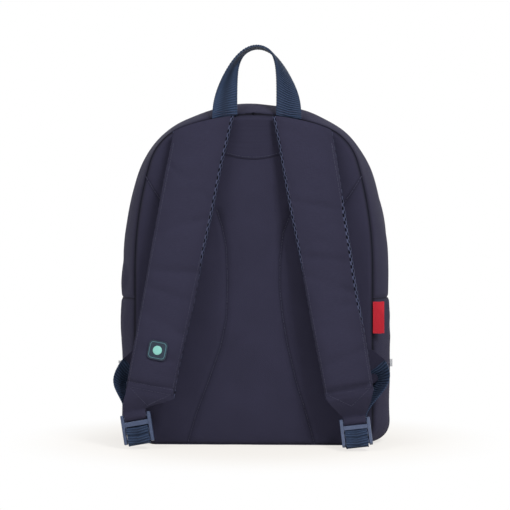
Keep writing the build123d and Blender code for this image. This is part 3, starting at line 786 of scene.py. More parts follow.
def front_swell(point):
    """How far the front stands out from the plane of its seam."""
    edge = off_seam(point)
    full = max(0, 1 - (point.x / 0.13) ** 2) * between((point.z - 0.160) / 0.08) * min(1, edge / 0.06)
    swell = FRONT_PLUMP * (1 - math.exp(-edge / 0.012))
    swell += min(1, edge / 0.03) * rumple(point, 0.06, 0.0010) + 0.008 * full
    return swell - 0.0014 * near(edge, 0.0022)


def front_cloth(column, length):
    point = panel_row(column, length)
    return Vector((point.x, FRONT_FACE + front_swell(point), point.z))


def strip_cloth(along, y):
    point, outward = shell(at_length(SEAM_RUN, along / REAR_RUN * top_edge(y)), y)
    drawn = tuck(FRONT_Y - y) + tuck(REAR_RUN - abs(along), EDGE_TUCK)
    free = max(min((FRONT_Y - y) / 0.015, (y - ZIP_Y - TAPE) / 0.008, 1.0), 0.0)
    return point - outward * (drawn - free * rumple(point, 0.045, 0.0018))


front = grid("front_cloth", spaced(-SEAM_HALF, SEAM_HALF, CLOTH_STEP), spaced(0, PANEL_RUN, CLOTH_STEP), front_cloth)
merged(front)
# Painted shade round the front's seam.
in_navy(front, (0, 0, 0.2), lambda p: 0.9 * near(off_seam(p), 0.0024), "front_panel_lower", "front_panel_upper")
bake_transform(front)

strip = grid(
    "gusset_front_cloth",
    spaced(-REAR_RUN, REAR_RUN, CLOTH_STEP),
    spaced(ZIP_Y + TAPE - 0.001, FRONT_Y, CLOTH_STEP),
    strip_cloth,
)
# Painted shade along the front seam and the zip's seam.
in_navy(
    strip, (0, 0, 0.2),
    lambda p: 0.8 * near(FRONT_Y - p.y, 0.0024) + 0.5 * near(p.y - ZIP_Y - TAPE, 0.0016),
    "gusset_front",
)
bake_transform(strip)

# Seam bindings and inner back. Inside, each seam's raw edges are wrapped in a narrow woven tape,
# and the back's foam is covered by a lining that is sewn down round its edge.
BINDING = 0.0022
BINDING_DEPTH = 0.0040
BINDING_INSET = 0.0030
BINDING_ROUND = 8
WHOLE_RUN = SEAM_RUN[-1][0]
BINDING_STEPS = round(2 * WHOLE_RUN / 0.006)


def bound_seam(y_seam, inwards, along, turn):
    """A place on the tape that wraps a seam inside: turn goes once round the tape's own section."""
    point, outward = spot(SEAM, at_length(SEAM_RUN, along))
    angle = 2 * math.pi * turn
    point -= outward * (BINDING_INSET + BINDING / 2 * (0.1 - math.cos(angle)) * 0.5)
    return Vector((point.x, y_seam + inwards * BINDING_DEPTH / 2 * (1 - 0.95 * math.sin(angle)), point.z))


binding_tape = patterned(
    "binding_tape", WEAVE,
    {"Yarn": 0.0007, "Light": colour(44, 45, 58), "Dark": colour(26, 27, 36), "Mottle": 0.3},
    vector="object",
)
for name, y_seam, inwards in (("seam_binding_back", BACK_Y, 1), ("seam_binding_front", FRONT_Y, -1)):
    tape = grid(
        name + "_tape",
        evenly(-WHOLE_RUN, WHOLE_RUN, BINDING_STEPS),
        evenly(0, 1, BINDING_ROUND),
        functools.partial(bound_seam, y_seam, inwards),
    )
    merged(tape, closed=True)
    smooth_faces(tape)
    if inwards > 0:
        dress(tape, binding_tape, "binding", name)
        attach(tape, "bag")
    else:
        dress(tape, binding_tape, "binding", name + "_lower", name + "_upper")
        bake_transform(tape)

LINING_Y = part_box("back_lining")[1].y
LINING_INSET = SEAM_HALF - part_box("back_lining")[1].x
LINING_CLEAR = 0.0004
LINING = 0.0004


def lining_cloth(column, length):
    point = panel_row(column, length, LINING_INSET)
    edge = max(off_seam(point) - LINING_INSET, 0)
    rise = (LINING_Y - BACK_Y - LINING_CLEAR) * (1 - math.exp(-edge / 0.0045))
    rise += min(1, edge / 0.03) * rumple(point, 0.05, 0.0006)
    return Vector((point.x, BACK_Y + LINING_CLEAR + rise, point.z))


lining = grid("back_lining_pad", spaced(-SEAM_HALF, SEAM_HALF, 0.006), spaced(0, PANEL_RUN, 0.006), lining_cloth)
merged(lining)
facing_away(lining, (0, -1, 0.2))
thicken(lining, LINING, smooth=1)
lining_finish = patterned(
    "grey_lining", WEAVE,
    {"Yarn": 0.0004, "Light": colour(92, 93, 104), "Dark": colour(66, 67, 78), "Mottle": 0.4},
)
dress(lining, lining_finish, "lining", "back_lining", "back_foam")
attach(lining, "bag")

# Main zip. Two woven tapes meet over the top of the bag, each with a row of moulded teeth along
# its edge, and two metal sliders close it from both ends. Sliders and pulls are cast metal.
COIL_GAP = 0.0006
TAPE_THICK = 0.0008
TAPE_INSET = 0.0004
TOOTH = (0.0009, 0.0014, 0.0013)
TOOTH_STEP = 0.0018
TOOTH_GAP = 0.0003
TOOTH_DROP = 0.0008
ZIP_HALF = math.radians(ZIP_END) * ZIP_RADIUS


def on_zip_round(angle, y, inset):
    """A point of the zip's round, at an angle from its top."""
    x, z = polar(ZIP_CENTRE, ZIP_RADIUS - inset, angle)
    return Vector((x, y, z))


def zip_tape_cloth(along, y):
    sewn = between((abs(y - ZIP_Y) - TAPE) / 0.003)
    return on_zip_round(math.degrees(along / ZIP_RADIUS), y, TAPE_INSET + 0.0014 * sewn)


def tooth_places(half, side):
    """Places along a row of teeth, half a step out of line with the row that it meets."""
    count = int(2 * half / TOOTH_STEP)
    return [(step + (0.25 if side < 0 else 0.75) - count / 2) * TOOTH_STEP for step in range(count)]


def row_of(name, places, size, bevel=0.00025):
    """One bevelled tooth or stitch, copied to each place along a seam, as one mesh."""
    bpy.ops.object.select_all(action="DESELECT")
    bpy.ops.mesh.primitive_cube_add(size=1)
    tooth = bpy.context.object
    for vertex in tooth.data.vertices:
        vertex.co = Vector([c * s for c, s in zip(vertex.co, size)])
    rounded = tooth.modifiers.new("round", "BEVEL")
    rounded.width, rounded.segments = bevel, 1
    apply_all(tooth)
    corners = [v.co.copy() for v in tooth.data.vertices]
    faces = [tuple(f.vertices) for f in tooth.data.polygons]
    bpy.data.objects.remove(tooth)
    made = bpy.data.meshes.new(name)
    points, polygons = [], []
    for place in places:
        polygons += [tuple(i + len(points) for i in face) for face in faces]
        points += [place @ corner for corner in corners]
    made.from_pydata(points, [], polygons)
    piece = bpy.data.objects.new(name, made)
    scene.collection.objects.link(piece)
    return piece


zip_weave = patterned(
    "zip_tape_weave", WEAVE,
    {"Yarn": 0.0008, "Light": colour(44, 45, 60), "Dark": colour(25, 26, 38), "Mottle": 0.25},
    bump=0.0004, Specular_IOR_Level=0.15,
)
CAST, given = new_group("handled_metal")
scuffs = speckle(CAST, given, 700.0, 6.0, 0.7)
cloud = speckle(CAST, given, 120.0, 2.0)
put_out(
    CAST,
    two_toned(CAST, given, cloud),
    math_node(CAST, "MULTIPLY_ADD", scuffs, 0.35, 0.15),
    scuffs,
)
slider_metal = patterned(
    "dark_nickel", CAST, {"Light": colour(150, 152, 160), "Dark": colour(100, 102, 112)},
    vector="object", bump=0.00005, strength=0.4, Metallic=1.0,
)
tooth_plastic = patterned(
    "moulded_teeth", CAST, {"Light": colour(40, 42, 60), "Dark": colour(26, 27, 42)},
    vector="object", bump=0.00005, strength=0.3,
)
for name, side, low, high in (
    ("rear", -1, ZIP_Y - TAPE - 0.004, ZIP_Y - COIL_GAP),
    ("front", 1, ZIP_Y + COIL_GAP, ZIP_Y + TAPE + 0.004),
):
    along = spaced(-ZIP_HALF, ZIP_HALF, CLOTH_STEP)
    tape = grid("zip_tape_" + name + "_cloth", along, evenly(low, high, 8), zip_tape_cloth)
    facing_away(tape, (0, 0, 0.24))
    thicken(tape, TAPE_THICK)
    dress(tape, zip_weave, "zip_tape", "zip_tape_" + name)
    teeth = []
    for along in tooth_places(ZIP_HALF, side):
        angle = along / ZIP_RADIUS
        centre = on_zip_round(math.degrees(angle), ZIP_Y + side * (TOOTH_GAP + TOOTH[1] / 2), TOOTH_DROP)
        teeth.append(Matrix.Translation(centre) @ Matrix.Rotation(angle, 4, "Y"))
    row = row_of("zip_teeth_" + name, teeth, TOOTH)
    dress(row, tooth_plastic, "zip_tape")
    for piece in (tape, row):
        if name == "rear":
            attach(piece, "bag")
        else:
            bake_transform(piece)
for name in (
    "zip_slider_left", "zip_slider_right", "zip_pull_left", "zip_pull_right", "pocket_slider", "pocket_pull",
):
    dress(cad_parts[name], slider_metal, "zip_metal")

# Front pocket. A padded face and a strip of cloth round its edge, sewn to the front of the bag,
# with a short zip let into the strip along the top. It is filled a little, so its face swells.
POCKET_LOW, POCKET_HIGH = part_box("pocket_gusset")
POCKET_BACK = POCKET_LOW.y
POCKET_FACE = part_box("pocket_face")[1].y
POCKET_HALF = POCKET_HIGH.x
POCKET_TOP_ROUND = 0.045
POCKET_FOOT_ROUND = 0.024
POCKET_ZIP_LOW, POCKET_ZIP_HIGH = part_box("pocket_zip_tapes")
POCKET_ZIP_Y = (POCKET_ZIP_LOW.y + POCKET_ZIP_HIGH.y) / 2
POCKET_ZIP_HALF = POCKET_ZIP_HIGH.x
POCKET_PLUMP = 0.0050
ROLL = 0.0050
side_x = POCKET_HALF - POCKET_TOP_ROUND
foot_x = POCKET_HALF - POCKET_FOOT_ROUND
POCKET = [
    ((0.0, POCKET_HIGH.z), (side_x, POCKET_HIGH.z)),
    ((side_x, POCKET_HIGH.z - POCKET_TOP_ROUND), POCKET_TOP_ROUND, 0.0, 90.0),
    ((POCKET_HALF, POCKET_HIGH.z - POCKET_TOP_ROUND), (POCKET_HALF, POCKET_LOW.z + POCKET_FOOT_ROUND)),
    ((foot_x, POCKET_LOW.z + POCKET_FOOT_ROUND), POCKET_FOOT_ROUND, 90.0, 180.0),
    ((foot_x, POCKET_LOW.z), (0.0, POCKET_LOW.z)),
]
POCKET_RUN = lengths(POCKET)
POCKET_LENGTH = POCKET_RUN[-1][0]
POCKET_TREE = finder(POCKET, 200)


def pocket_face_cloth(column, length):
    place = spot(POCKET, at_length(POCKET_RUN, length))[0]
    point = Vector((place.x * column / POCKET_HALF, 0, place.z))
    edge = POCKET_TREE.find(point)[2]
    swell = POCKET_PLUMP * (1 - math.exp(-edge / 0.022)) + min(1, edge / 0.03) * rumple(point, 0.045, 0.0016)
    swell -= ROLL * 0.45 * near(edge, 0.0035)
    return Vector((point.x, POCKET_FACE - 0.0012 + swell, point.z))


flat_top, flat_foot = length_at(POCKET_RUN, 1.0), length_at(POCKET_RUN, 4.0)
face = grid(
    "pocket_face_cloth",
    spaced(-POCKET_HALF, POCKET_HALF, CLOTH_STEP),
    spaced(flat_top, flat_foot, CLOTH_STEP),
    pocket_face_cloth,
)
merged(face)
facing_away(face, (0, 0, 0.08))
rim = [v.index for v in face.data.vertices if POCKET_TREE.find((v.co.x, 0, v.co.z))[2] < 0.005]
puff(face, rim, PUFF_PRESSURE, 0.005)
thicken(face, CLOTH, smooth=1)
dress(face, navy_cloth, "bag_cloth", "pocket_face")
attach(face, "bag")


def pocket_strip_cloth(along, y):
    point, outward = spot(POCKET, at_length(POCKET_RUN, along))
    point.y = y
    share = (y - POCKET_BACK) / (POCKET_FACE - POCKET_BACK)
    drawn = tuck(y - POCKET_BACK, 0.0016) + ROLL * 0.30 * near(POCKET_FACE - y, 0.0030)
    drawn += 0.0012 * abs(2 * share - 1) ** 3
    free = min(1, share / 0.3, (1 - share) / 0.2)
    on_zip = abs(along) < POCKET_ZIP_HALF + 0.01
    drawn -= max(free, 0) * rumple(point, 0.04, 0.0003 if on_zip else 0.0014)
    return point - outward * (drawn + 0.0004)


slot_edge = TAPE / 2 - 0.001
rows = spaced(POCKET_BACK, POCKET_ZIP_Y - slot_edge, 0.004)[:-3]
rows += [POCKET_ZIP_Y - slot_edge, POCKET_ZIP_Y, POCKET_ZIP_Y + slot_edge]
rows += spaced(POCKET_ZIP_Y + slot_edge, POCKET_FACE, 0.004)[3:]
columns = evenly(-POCKET_LENGTH, -POCKET_ZIP_HALF, 60)[:-1] + evenly(-POCKET_ZIP_HALF, POCKET_ZIP_HALF, 30)
columns += [-x for x in reversed(columns[:60])]
band = grid("pocket_gusset_cloth", columns, rows, pocket_strip_cloth)
merged(band)


def cut_out(piece, chosen):
    """Cuts away the faces of a sheet whose middles are chosen."""
    bpy.context.tool_settings.mesh_select_mode = (False, False, True)
    for parts_of in (piece.data.vertices, piece.data.edges, piece.data.polygons):
        parts_of.foreach_set("select", [False] * len(parts_of))
    for polygon in piece.data.polygons:
        polygon.select = chosen(polygon.center)
    bpy.ops.object.mode_set(mode="EDIT")
    bpy.ops.mesh.delete(type="FACE")
    bpy.ops.object.mode_set(mode="OBJECT")
    bpy.context.tool_settings.mesh_select_mode = (True, False, False)


def in_zip_slot(middle):
    beside = abs(middle.x) < POCKET_ZIP_HALF and abs(middle.y - POCKET_ZIP_Y) < slot_edge
    return beside and middle.z > POCKET_HIGH.z - 0.005


cut_out(band, in_zip_slot)
in_navy(band, (0, POCKET_ZIP_Y, 0.08), None, "pocket_gusset")
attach(band, "bag")

half_run = POCKET_ZIP_HALF + 0.003
tape_rows = [-TAPE / 2 - 0.002, -TAPE / 4, -COIL_GAP, COIL_GAP, TAPE / 4, TAPE / 2 + 0.002]
tapes = grid(
    "pocket_zip_tape_cloth",
    spaced(-half_run, half_run, 0.006),
    tape_rows,
    lambda x, y: Vector((x, POCKET_ZIP_Y + y, POCKET_HIGH.z - 0.0012 - 0.0010 * (abs(y) > TAPE / 2))),
)
cut_out(tapes, lambda middle: abs(middle.y - POCKET_ZIP_Y) < COIL_GAP / 2)
facing_away(tapes, (0, POCKET_ZIP_Y, 0.08))
thicken(tapes, TAPE_THICK)
dress(tapes, zip_weave, "zip_tape", "pocket_zip_tapes")
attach(tapes, "bag")
teeth = [
    Matrix.Translation((x, POCKET_ZIP_Y + side * (TOOTH_GAP + TOOTH[1] / 2), POCKET_HIGH.z - TOOTH_DROP))
    for side in (-1, 1)
    for x in tooth_places(POCKET_ZIP_HALF, side)
]
row = row_of("pocket_zip_teeth", teeth, TOOTH)
dress(row, tooth_plastic, "zip_tape")
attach(row, "bag")

# Shoulder straps. Each is a long foam pad, with navy cloth over its outer face and air mesh under
# it. The mesh is wrapped up round the foam's edge, so a line of it shows beside the cloth.
STRAP_TOP = Vector((0.056, -0.07085, 0.386))
STRAP_FOOT_Z = 0.062
STRAP_BOW = 0.031
STRAP_WIDTHS = (0.066, 0.056)
STRAP_HALF = 0.00525
STRAP_LENGTH = 0.330
COVER = 0.0010
COVER_ROUND = 0.064
MESH_ROUND = 0.080
CREASE = 0.0140
SIDES = {
    "left": {"sign": -1, "foot": 0.118, "bar": (-0.134, -0.101, 0.036), "tilt": 10.0, "lean": 10.0, "bow": 0.0305},
    "right": {"sign": 1, "foot": 0.112, "bar": (0.118, -0.099, 0.031), "tilt": 6.5, "lean": 35.0, "bow": 0.026},
}
# Each crease's share of the length, depth, slope, and place across the strap.
CREASES = {
    "left": (
        (0.5640, 0.0026, -0.20, 0.9), (0.6450, 0.0022, 0.16, -0.2), (0.8600, 0.0012, 0.30, 0.6),
        (0.2500, 0.0019, 0.90, -0.8), (0.4000, 0.0018, -0.80, 0.7), (0.7500, 0.0016, 0.50, 0.9),
        (0.9700, 0.0022, 0.00, 0.0),
    ),
    "right": (
        (0.5200, 0.0020, 0.40, -0.5), (0.7000, 0.0021, -0.30, 0.5), (0.3300, 0.0018, 0.60, 0.6),
        (0.6100, 0.0019, 0.90, 0.9), (0.4300, 0.0016, -0.90, -0.6), (0.8700, 0.0016, -0.40, 0.4),
        (0.9700, 0.0022, 0.00, 0.0),
    ),
}


def strap_centre(side, share):
    x = side["sign"] * (STRAP_TOP.x + (side["foot"] - STRAP_TOP.x) * share)
    y = STRAP_TOP.y - STRAP_BOW * math.sin(math.pi / 2 * share)
    return Vector((x, y, STRAP_TOP.z + (STRAP_FOOT_Z - STRAP_TOP.z) * share))


def strap_frame(side, share):
    """Centre, across and outward directions and half width of a strap at a share of its length."""
    run = (strap_centre(side, share + 0.01) - strap_centre(side, share - 0.01)).normalized()
    across = Vector((-run.z, 0, run.x)).normalized()
    width = STRAP_WIDTHS[0] + (STRAP_WIDTHS[1] - STRAP_WIDTHS[0]) * share
    return strap_centre(side, share), across, run.cross(across).normalized(), width / 2


def strap_start(side, offset):
    """Share of the strap's length at which it comes out of the back seam, for a place across it."""

    def under_seam(share):
        centre, across, _, half = strap_frame(side, share)
        point = centre + across * offset * half
        run = length_for_x(min(abs(point.x), SEAM_HALF - 0.0001))
        return point.z > spot(SEAM, at_length(SEAM_RUN, run))[0].z - 0.0022

    return turning_point(-0.02, 0.30, under_seam)


STARTS = {name: [strap_start(side, step / 10 - 1) for step in range(21)] for name, side in SIDES.items()}


def strap_point(name, turn, share):
    """A point on the strap's surface: turn goes round its section in degrees, from its +X edge outwards."""
    side = SIDES[name]
    c, s = math.cos(math.radians(turn)), math.sin(math.radians(turn))
    offset = math.copysign(abs(c) ** 0.36, c)
    rise = math.copysign(abs(s) ** 0.55, s)
    place = (offset + 1) * 10
    low = min(int(place), 19)
    start = STARTS[name][low] + (STARTS[name][low + 1] - STARTS[name][low]) * (place - low)
    along = start + (1 - start) * share
    centre, across, outward, half = strap_frame(side, along)
    length = (1 - start) * STRAP_LENGTH
    pinch = 1 - 0.62 * math.exp(-share * length / 0.009) - 0.50 * math.exp(-(1 - share) * length / 0.005)
    point = centre + across * offset * half + outward * rise * STRAP_HALF * pinch
    if rise > 0:
        for where, depth, slope, middle in CREASES[name]:
            fold = near(along - where - slope * offset * 0.06, CREASE) * min(1, rise * 1.3)
            point -= outward * depth * fold * (1 - 0.5 * abs(offset - middle) / 1.5)
        point += outward * (rumple(point, 0.040, 0.0022) + rumple(point, 0.015, 0.0007)) * rise
    return point + across * rumple(point, 0.07, 0.0010) * (1 if abs(offset) > 0.5 else 0.3)


def mesh_shows(name, outer, share):
    """Degrees round the edge at which cloth and mesh are sewn together, more where the mesh shows."""
    along = 0.06 + 0.94 * share
    if not outer:
        return 12 + 30 * between((0.62 - along) / 0.10)
    if name == "right":
        return 12 + 34 * between(min((along - 0.26) / 0.10, (0.80 - along) / 0.10))
    return 12.0


def cover_place(name, turn, along):
    share = along / STRAP_LENGTH
    right_outer = SIDES[name]["sign"] > 0
    first = mesh_shows(name, right_outer, share)
    last = 180 - mesh_shows(name, not right_outer, share)
    return strap_point(name, first + (last - first) * turn / COVER_ROUND, share)


def mesh_place(name, turn, along):
    share = along / STRAP_LENGTH
    right_outer = SIDES[name]["sign"] > 0
    first = 180 - mesh_shows(name, not right_outer, share)
    last = 360 + mesh_shows(name, right_outer, share)
    point = strap_point(name, first + (last - first) * turn / MESH_ROUND, share)
    edge = min(turn, MESH_ROUND - turn)
    centre, across, outward, _ = strap_frame(SIDES[name], share)
    knots = MESH_KNOT * math.sin(2 * math.pi * (along + turn) / MESH_STEP) * near(edge - 0.004, 0.006)
    knots *= min(1, share / 0.05, (1 - share) / 0.05)
    return point - outward * 0.0005 * near(edge, 0.0008) + (point - centre).normalized() * knots


MESH, given = new_group("air_mesh", Cell="Float")
parts = add(MESH, "SeparateXYZ", {0: given["Vector"]}).outputs
turns = math_node(MESH, "DIVIDE", math.pi, given["Cell"])
rising = wave(MESH, math_node(MESH, "ADD", parts[0], parts[1]), turns)
falling = wave(MESH, math_node(MESH, "SUBTRACT", parts[0], parts[1]), turns)
hole = math_node(MESH, "ABSOLUTE", math_node(MESH, "MULTIPLY", rising, falling))
rib = add(
    MESH, "MapRange", {"Value": hole, "From Min": 0.25, "From Max": 0.6, "To Min": 1.0, "To Max": 0.0}
).outputs[0]
thread = speckle(MESH, given, 1500.0, 2.0)
shade = math_node(MESH, "MULTIPLY", rib, math_node(MESH, "MULTIPLY_ADD", thread, 0.8, 0.5))
put_out(
    MESH,
    two_toned(MESH, given, shade),
    math_node(MESH, "MULTIPLY_ADD", rib, -0.2, 0.9),
    math_node(MESH, "MULTIPLY_ADD", thread, 0.2, rib),
)
# The near-black colour of the mesh's holes is partly the mesh's own and partly painted shade under the straps.
air_mesh = patterned(
    "air_mesh_cloth", MESH, {"Cell": 0.0092, "Light": colour(84, 90, 120), "Dark": colour(8, 9, 17)},
    bump=0.0012, strength=1.0, Specular_IOR_Level=0.1,
)
STRAP_ROWS = spaced(0, STRAP_LENGTH, 0.0036)
MESH_ROWS = spaced(0, STRAP_LENGTH, 0.0022)
MESH_STEP = 0.0054
MESH_KNOT = 0.0007
FOOT_SEAM = 0.0095
for name, side in SIDES.items():
    middle = strap_centre(side, 0.5)
    place = functools.partial(cover_place, name)
    cover = grid("strap_cover_cloth_" + name, evenly(0, COVER_ROUND, 26), STRAP_ROWS, place)
    facing_away(cover, middle + Vector((0, 0.05, 0)))
    foot, _, outward, _ = strap_frame(side, 1.0)
    down = (foot - strap_frame(side, 0.95)[0]).normalized()
    # Painted shade along the seam across the strap's foot.
    paint_seam_shade(cover, lambda p: 0.55 * near((foot - p).dot(down) - FOOT_SEAM, 0.0022))
    thicken(cover, COVER, smooth=1)
    dress(cover, navy_cloth, "bag_cloth", "strap_cover_" + name, "strap_foam_" + name)
    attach(cover, "strap_" + name)
    place = functools.partial(mesh_place, name)
    under = grid("strap_mesh_cloth_" + name, evenly(0, MESH_ROUND, 32), MESH_ROWS, place)
    facing_away(under, middle - Vector((0, 0.05, 0)))
    thicken(under, COVER, smooth=1)
    dress(under, air_mesh, "air_mesh", "strap_mesh_" + name)
    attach(under, "strap_" + name)

# Strap tabs. A tapered piece of doubled cloth is sewn to each strap's foot and looped round the
# top bar of its ladder lock, with its end sewn down behind.
TAB = 0.0024
LOOP = 0.0031
WEBBING_WIDTH = 0.025


def lock_frame(side):
    """The ladder lock's own directions, with the strap's bar as their origin, as a matrix."""
    tilt, lean = math.radians(side["tilt"]), math.radians(side["lean"])
    across = Vector((math.cos(tilt), 0, math.sin(tilt)))
    down = Vector((math.sin(tilt), 0, -math.cos(tilt))) * math.cos(lean) + Vector((0, -math.sin(lean), 0))
    outward = down.cross(across)
    up = outward.cross(across)
    frame_of = Matrix((across, up, outward)).transposed().to_4x4()
    frame_of.translation = Vector(side["bar"])
    return frame_of


def smooth_run(stations, step):
    """Stations of a strip put on a smooth curve through the given ones, evenly spaced along it."""
    dense, last = [], len(stations) - 1
    for index in range(last):
        a, b, c, d = (stations[min(max(index + k, 0), last)] for k in (-1, 0, 1, 2))
        for part in range(16 if index < last - 1 else 17):
            t = part / 16
            centre = 0.5 * (
                2 * b[0] + (c[0] - a[0]) * t + (2 * a[0] - 5 * b[0] + 4 * c[0] - d[0]) * t**2
                + (3 * b[0] - a[0] - 3 * c[0] + d[0]) * t**3
            )
            across, outward = (b[k].lerp(c[k], t).normalized() for k in (1, 2))
            dense.append((centre, across, outward, b[3] + (c[3] - b[3]) * t))
    runs = [0.0]
    for before, after in zip(dense, dense[1:]):
        runs.append(runs[-1] + (after[0] - before[0]).length)
    count = max(round(runs[-1] / step), 2)
    even = []
    for k in range(count + 1):
        want = runs[-1] * k / count
        index = min(max(bisect.bisect(runs, want), 1), len(dense) - 1)
        t = (want - runs[index - 1]) / max(runs[index] - runs[index - 1], 1e-9)
        b, c = dense[index - 1], dense[index]
        even.append((b[0].lerp(c[0], t), b[1].lerp(c[1], t), b[2].lerp(c[2], t), b[3] + (c[3] - b[3]) * t))
    return even, runs[-1]


WEBBING_RIB = 0.0028


def strip_of(name, stations, thickness, step, rib=0.0, uneven=0.0):
    """A strip of webbing or doubled cloth through its stations, with its ribs across it."""
    even, run = smooth_run(stations, step)
    edges = (-1.0, -0.97, -0.88, -0.6, -0.3, 0.0, 0.3, 0.6, 0.88, 0.97, 1.0)
    rows = [run * k / (len(even) - 1) for k in range(len(even))]
    where = {row: even[k] for k, row in enumerate(rows)}
    widest = max(s[3] for s in even)

    def place(column, row):
        centre, across, outward, width = where[row]
        offset = column / widest * 2
        lift = thickness / 2 + rib * math.sin(2 * math.pi * row / WEBBING_RIB)
        lift -= thickness * 0.18 * (abs(offset) > 0.95)
        point = centre + across * column * width / widest + outward * lift
        return point + outward * rumple(point, 0.012, uneven)

    piece = grid(name, [e * widest / 2 for e in edges], rows, place)
    turned_out = 0.0
    for index in range(0, len(piece.data.polygons), 23):
        side_face = piece.data.polygons[index]
        near_row = min(even, key=lambda station: (station[0] - side_face.center).length)
        turned_out += side_face.normal.dot(near_row[2])
    if turned_out < 0:
        piece.data.flip_normals()
    thicken(piece, thickness)
    return piece


def at_lock(side, x, y, z):
    return lock_frame(side) @ Vector((x, y, z))


for name, side in SIDES.items():
    lock_across, lock_up, lock_out = lock_frame(side).to_3x3().transposed()
    foot, across, outward, half = strap_frame(side, 1.0)
    start = strap_frame(side, 0.955)[0] + outward * 0.0012
    neck = at_lock(side, 0, 0.0075, 0.0008)
    waist_across = (across + lock_across * 0.4).normalized()
    waist_out = (outward + lock_out * 0.4).normalized()
    loop_out = (lock_out + lock_up * 0.4).normalized()
    stations = [
        (start, across, outward, 2 * half - 0.004),
        (foot + outward * 0.0026, across, outward, 2 * half - 0.002),
        (foot.lerp(neck, 0.40) + outward * 0.0022, waist_across, waist_out, 0.0455),
        (neck, lock_across, lock_out, WEBBING_WIDTH + 0.0015),
    ]
    stations += [
        (at_lock(side, 0, up, out), lock_across, facing, WEBBING_WIDTH)
        for up, out, facing in (
            (0.0028, 0.0024, loop_out), (0, LOOP, lock_out), (-LOOP, 0, -lock_up),
            (0, -LOOP, -lock_out), (0.0045, -0.0020, -lock_out), (0.0120, -0.0024, -lock_out),
        )
    ]
    tab = strip_of("strap_tab_cloth_" + name, stations, TAB, 0.0015, uneven=0.0004)
    down = across.cross(outward)
    # Painted shade at the tab's sewn end and along lines 10 mm from it.
    paint_seam_shade(
        tab,
        lambda p: 0.8 * near((p - start).dot(down), 0.0016) + 0.35 * near(abs((p - start).dot(down)) - 0.010, 0.0009),
    )
    dress(tab, navy_cloth, "bag_cloth", "strap_tab_" + name)
    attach(tab, "strap_" + name)

# Ladder locks and adjuster webbing. Each moulded lock hangs from its strap's tab. The webbing is
# sewn to a triangular tab in the side seam, bows out beside the strap, and is threaded through
# the lock, with its short tail behind.
PLASTIC, given = new_group("moulded_plastic")
grain = speckle(PLASTIC, given, 2600.0, 2.0)
cloud = speckle(PLASTIC, given, 90.0, 3.0)
scrape = speckle(PLASTIC, given, 320.0, 6.0, 0.75)
worn = add(PLASTIC, "MapRange", {"Value": scrape, "From Min": 0.52, "From Max": 0.72}).outputs[0]
shade = math_node(PLASTIC, "MULTIPLY_ADD", cloud, 0.5, math_node(PLASTIC, "MULTIPLY", worn, 0.55))
put_out(
    PLASTIC,
    two_toned(PLASTIC, given, shade),
    math_node(PLASTIC, "MULTIPLY_ADD", worn, 0.25, 0.36),
    grain,
)
lock_plastic = patterned(
    "lock_plastic", PLASTIC, {"Light": colour(84, 99, 132), "Dark": colour(52, 65, 94)},
    vector="object", bump=0.00006, strength=0.5,
)
RIBBED, given = new_group("ribbed_webbing", Rib="Float")
YARN_STEP = 0.0012
parts = add(RIBBED, "SeparateXYZ", {0: given["Vector"]}).outputs
slant = math_node(RIBBED, "MULTIPLY", math_node(RIBBED, "ABSOLUTE", parts[0]), 0.12)
turns = math_node(RIBBED, "DIVIDE", 2 * math.pi, given["Rib"])
rib = wave(RIBBED, math_node(RIBBED, "ADD", parts[1], slant), turns)
yarn = wave(RIBBED, parts[0], 2 * math.pi / YARN_STEP)
fuzz = speckle(RIBBED, given, 1400.0, 3.0)
shade = math_node(RIBBED, "MULTIPLY_ADD", rib, 0.34, 0.5)
shade = math_node(RIBBED, "ADD", shade, math_node(RIBBED, "MULTIPLY_ADD", fuzz, 0.6, -0.3))
shade = math_node(RIBBED, "MULTIPLY_ADD", yarn, 0.08, shade)
put_out(
    RIBBED,
    two_toned(RIBBED, given, shade),
    math_node(RIBBED, "MULTIPLY_ADD", fuzz, 0.3, 0.5),
    math_node(RIBBED, "MULTIPLY_ADD", yarn, 0.3, rib),
)
webbing_cloth = patterned(
    "blue_webbing", RIBBED, {"Rib": WEBBING_RIB, "Light": colour(58, 75, 105), "Dark": colour(15, 24, 41)},
    bump=0.00035, strength=0.8, Sheen_Weight=0.02, Specular_IOR_Level=0.15,
)
WEBBING = 0.0014
LOCK_ROUTE = [
    (-7.5, -5.2), (-11.2, -3.2), (-12.25, -0.6), (-12.25, 2.0), (-14.2, 3.5), (-18.4, 3.5), (-21.3, 1.9),
    (-24.2, 3.5), (-28.6, 3.5), (-31.0, 1.6), (-31.2, -1.6), (-29.6, -4.6),
]
TAIL_ROUTE = [(0.6, -27.5, -8.0), (1.6, -22.5, -11.5)]
ANCHOR_Z = 0.092
RUN_START = (0.004, 0.0047)
RUN_BOW = (0.0077, -0.026)
RUN_TURN = Vector((0, -1.5, 0))
RUN_BEHIND = (0, 0.030, -0.0085)
RUN_END = (0, -0.0068, -0.0056)
WEBBING_RELIEF = 0.00012
TAB_TIP = 0.006


def anchor_cloth(low, high, sign, across, up):
    """A place on a tab that narrows outwards from its seam to its tip."""
    near_x, far_x = (low.x, high.x) if sign > 0 else (high.x, low.x)
    tall = (high.z - low.z) / 2
    reach = tall - (tall - TAB_TIP) * max(0, (across - 0.27) / 0.73)
    flutter = rumple(Vector((across * 4, up * 4, sign)), 1.0, 0.0002)
    return Vector((near_x + (far_x - near_x) * across, low.y + flutter, ANCHOR_Z + up * 2 * reach))


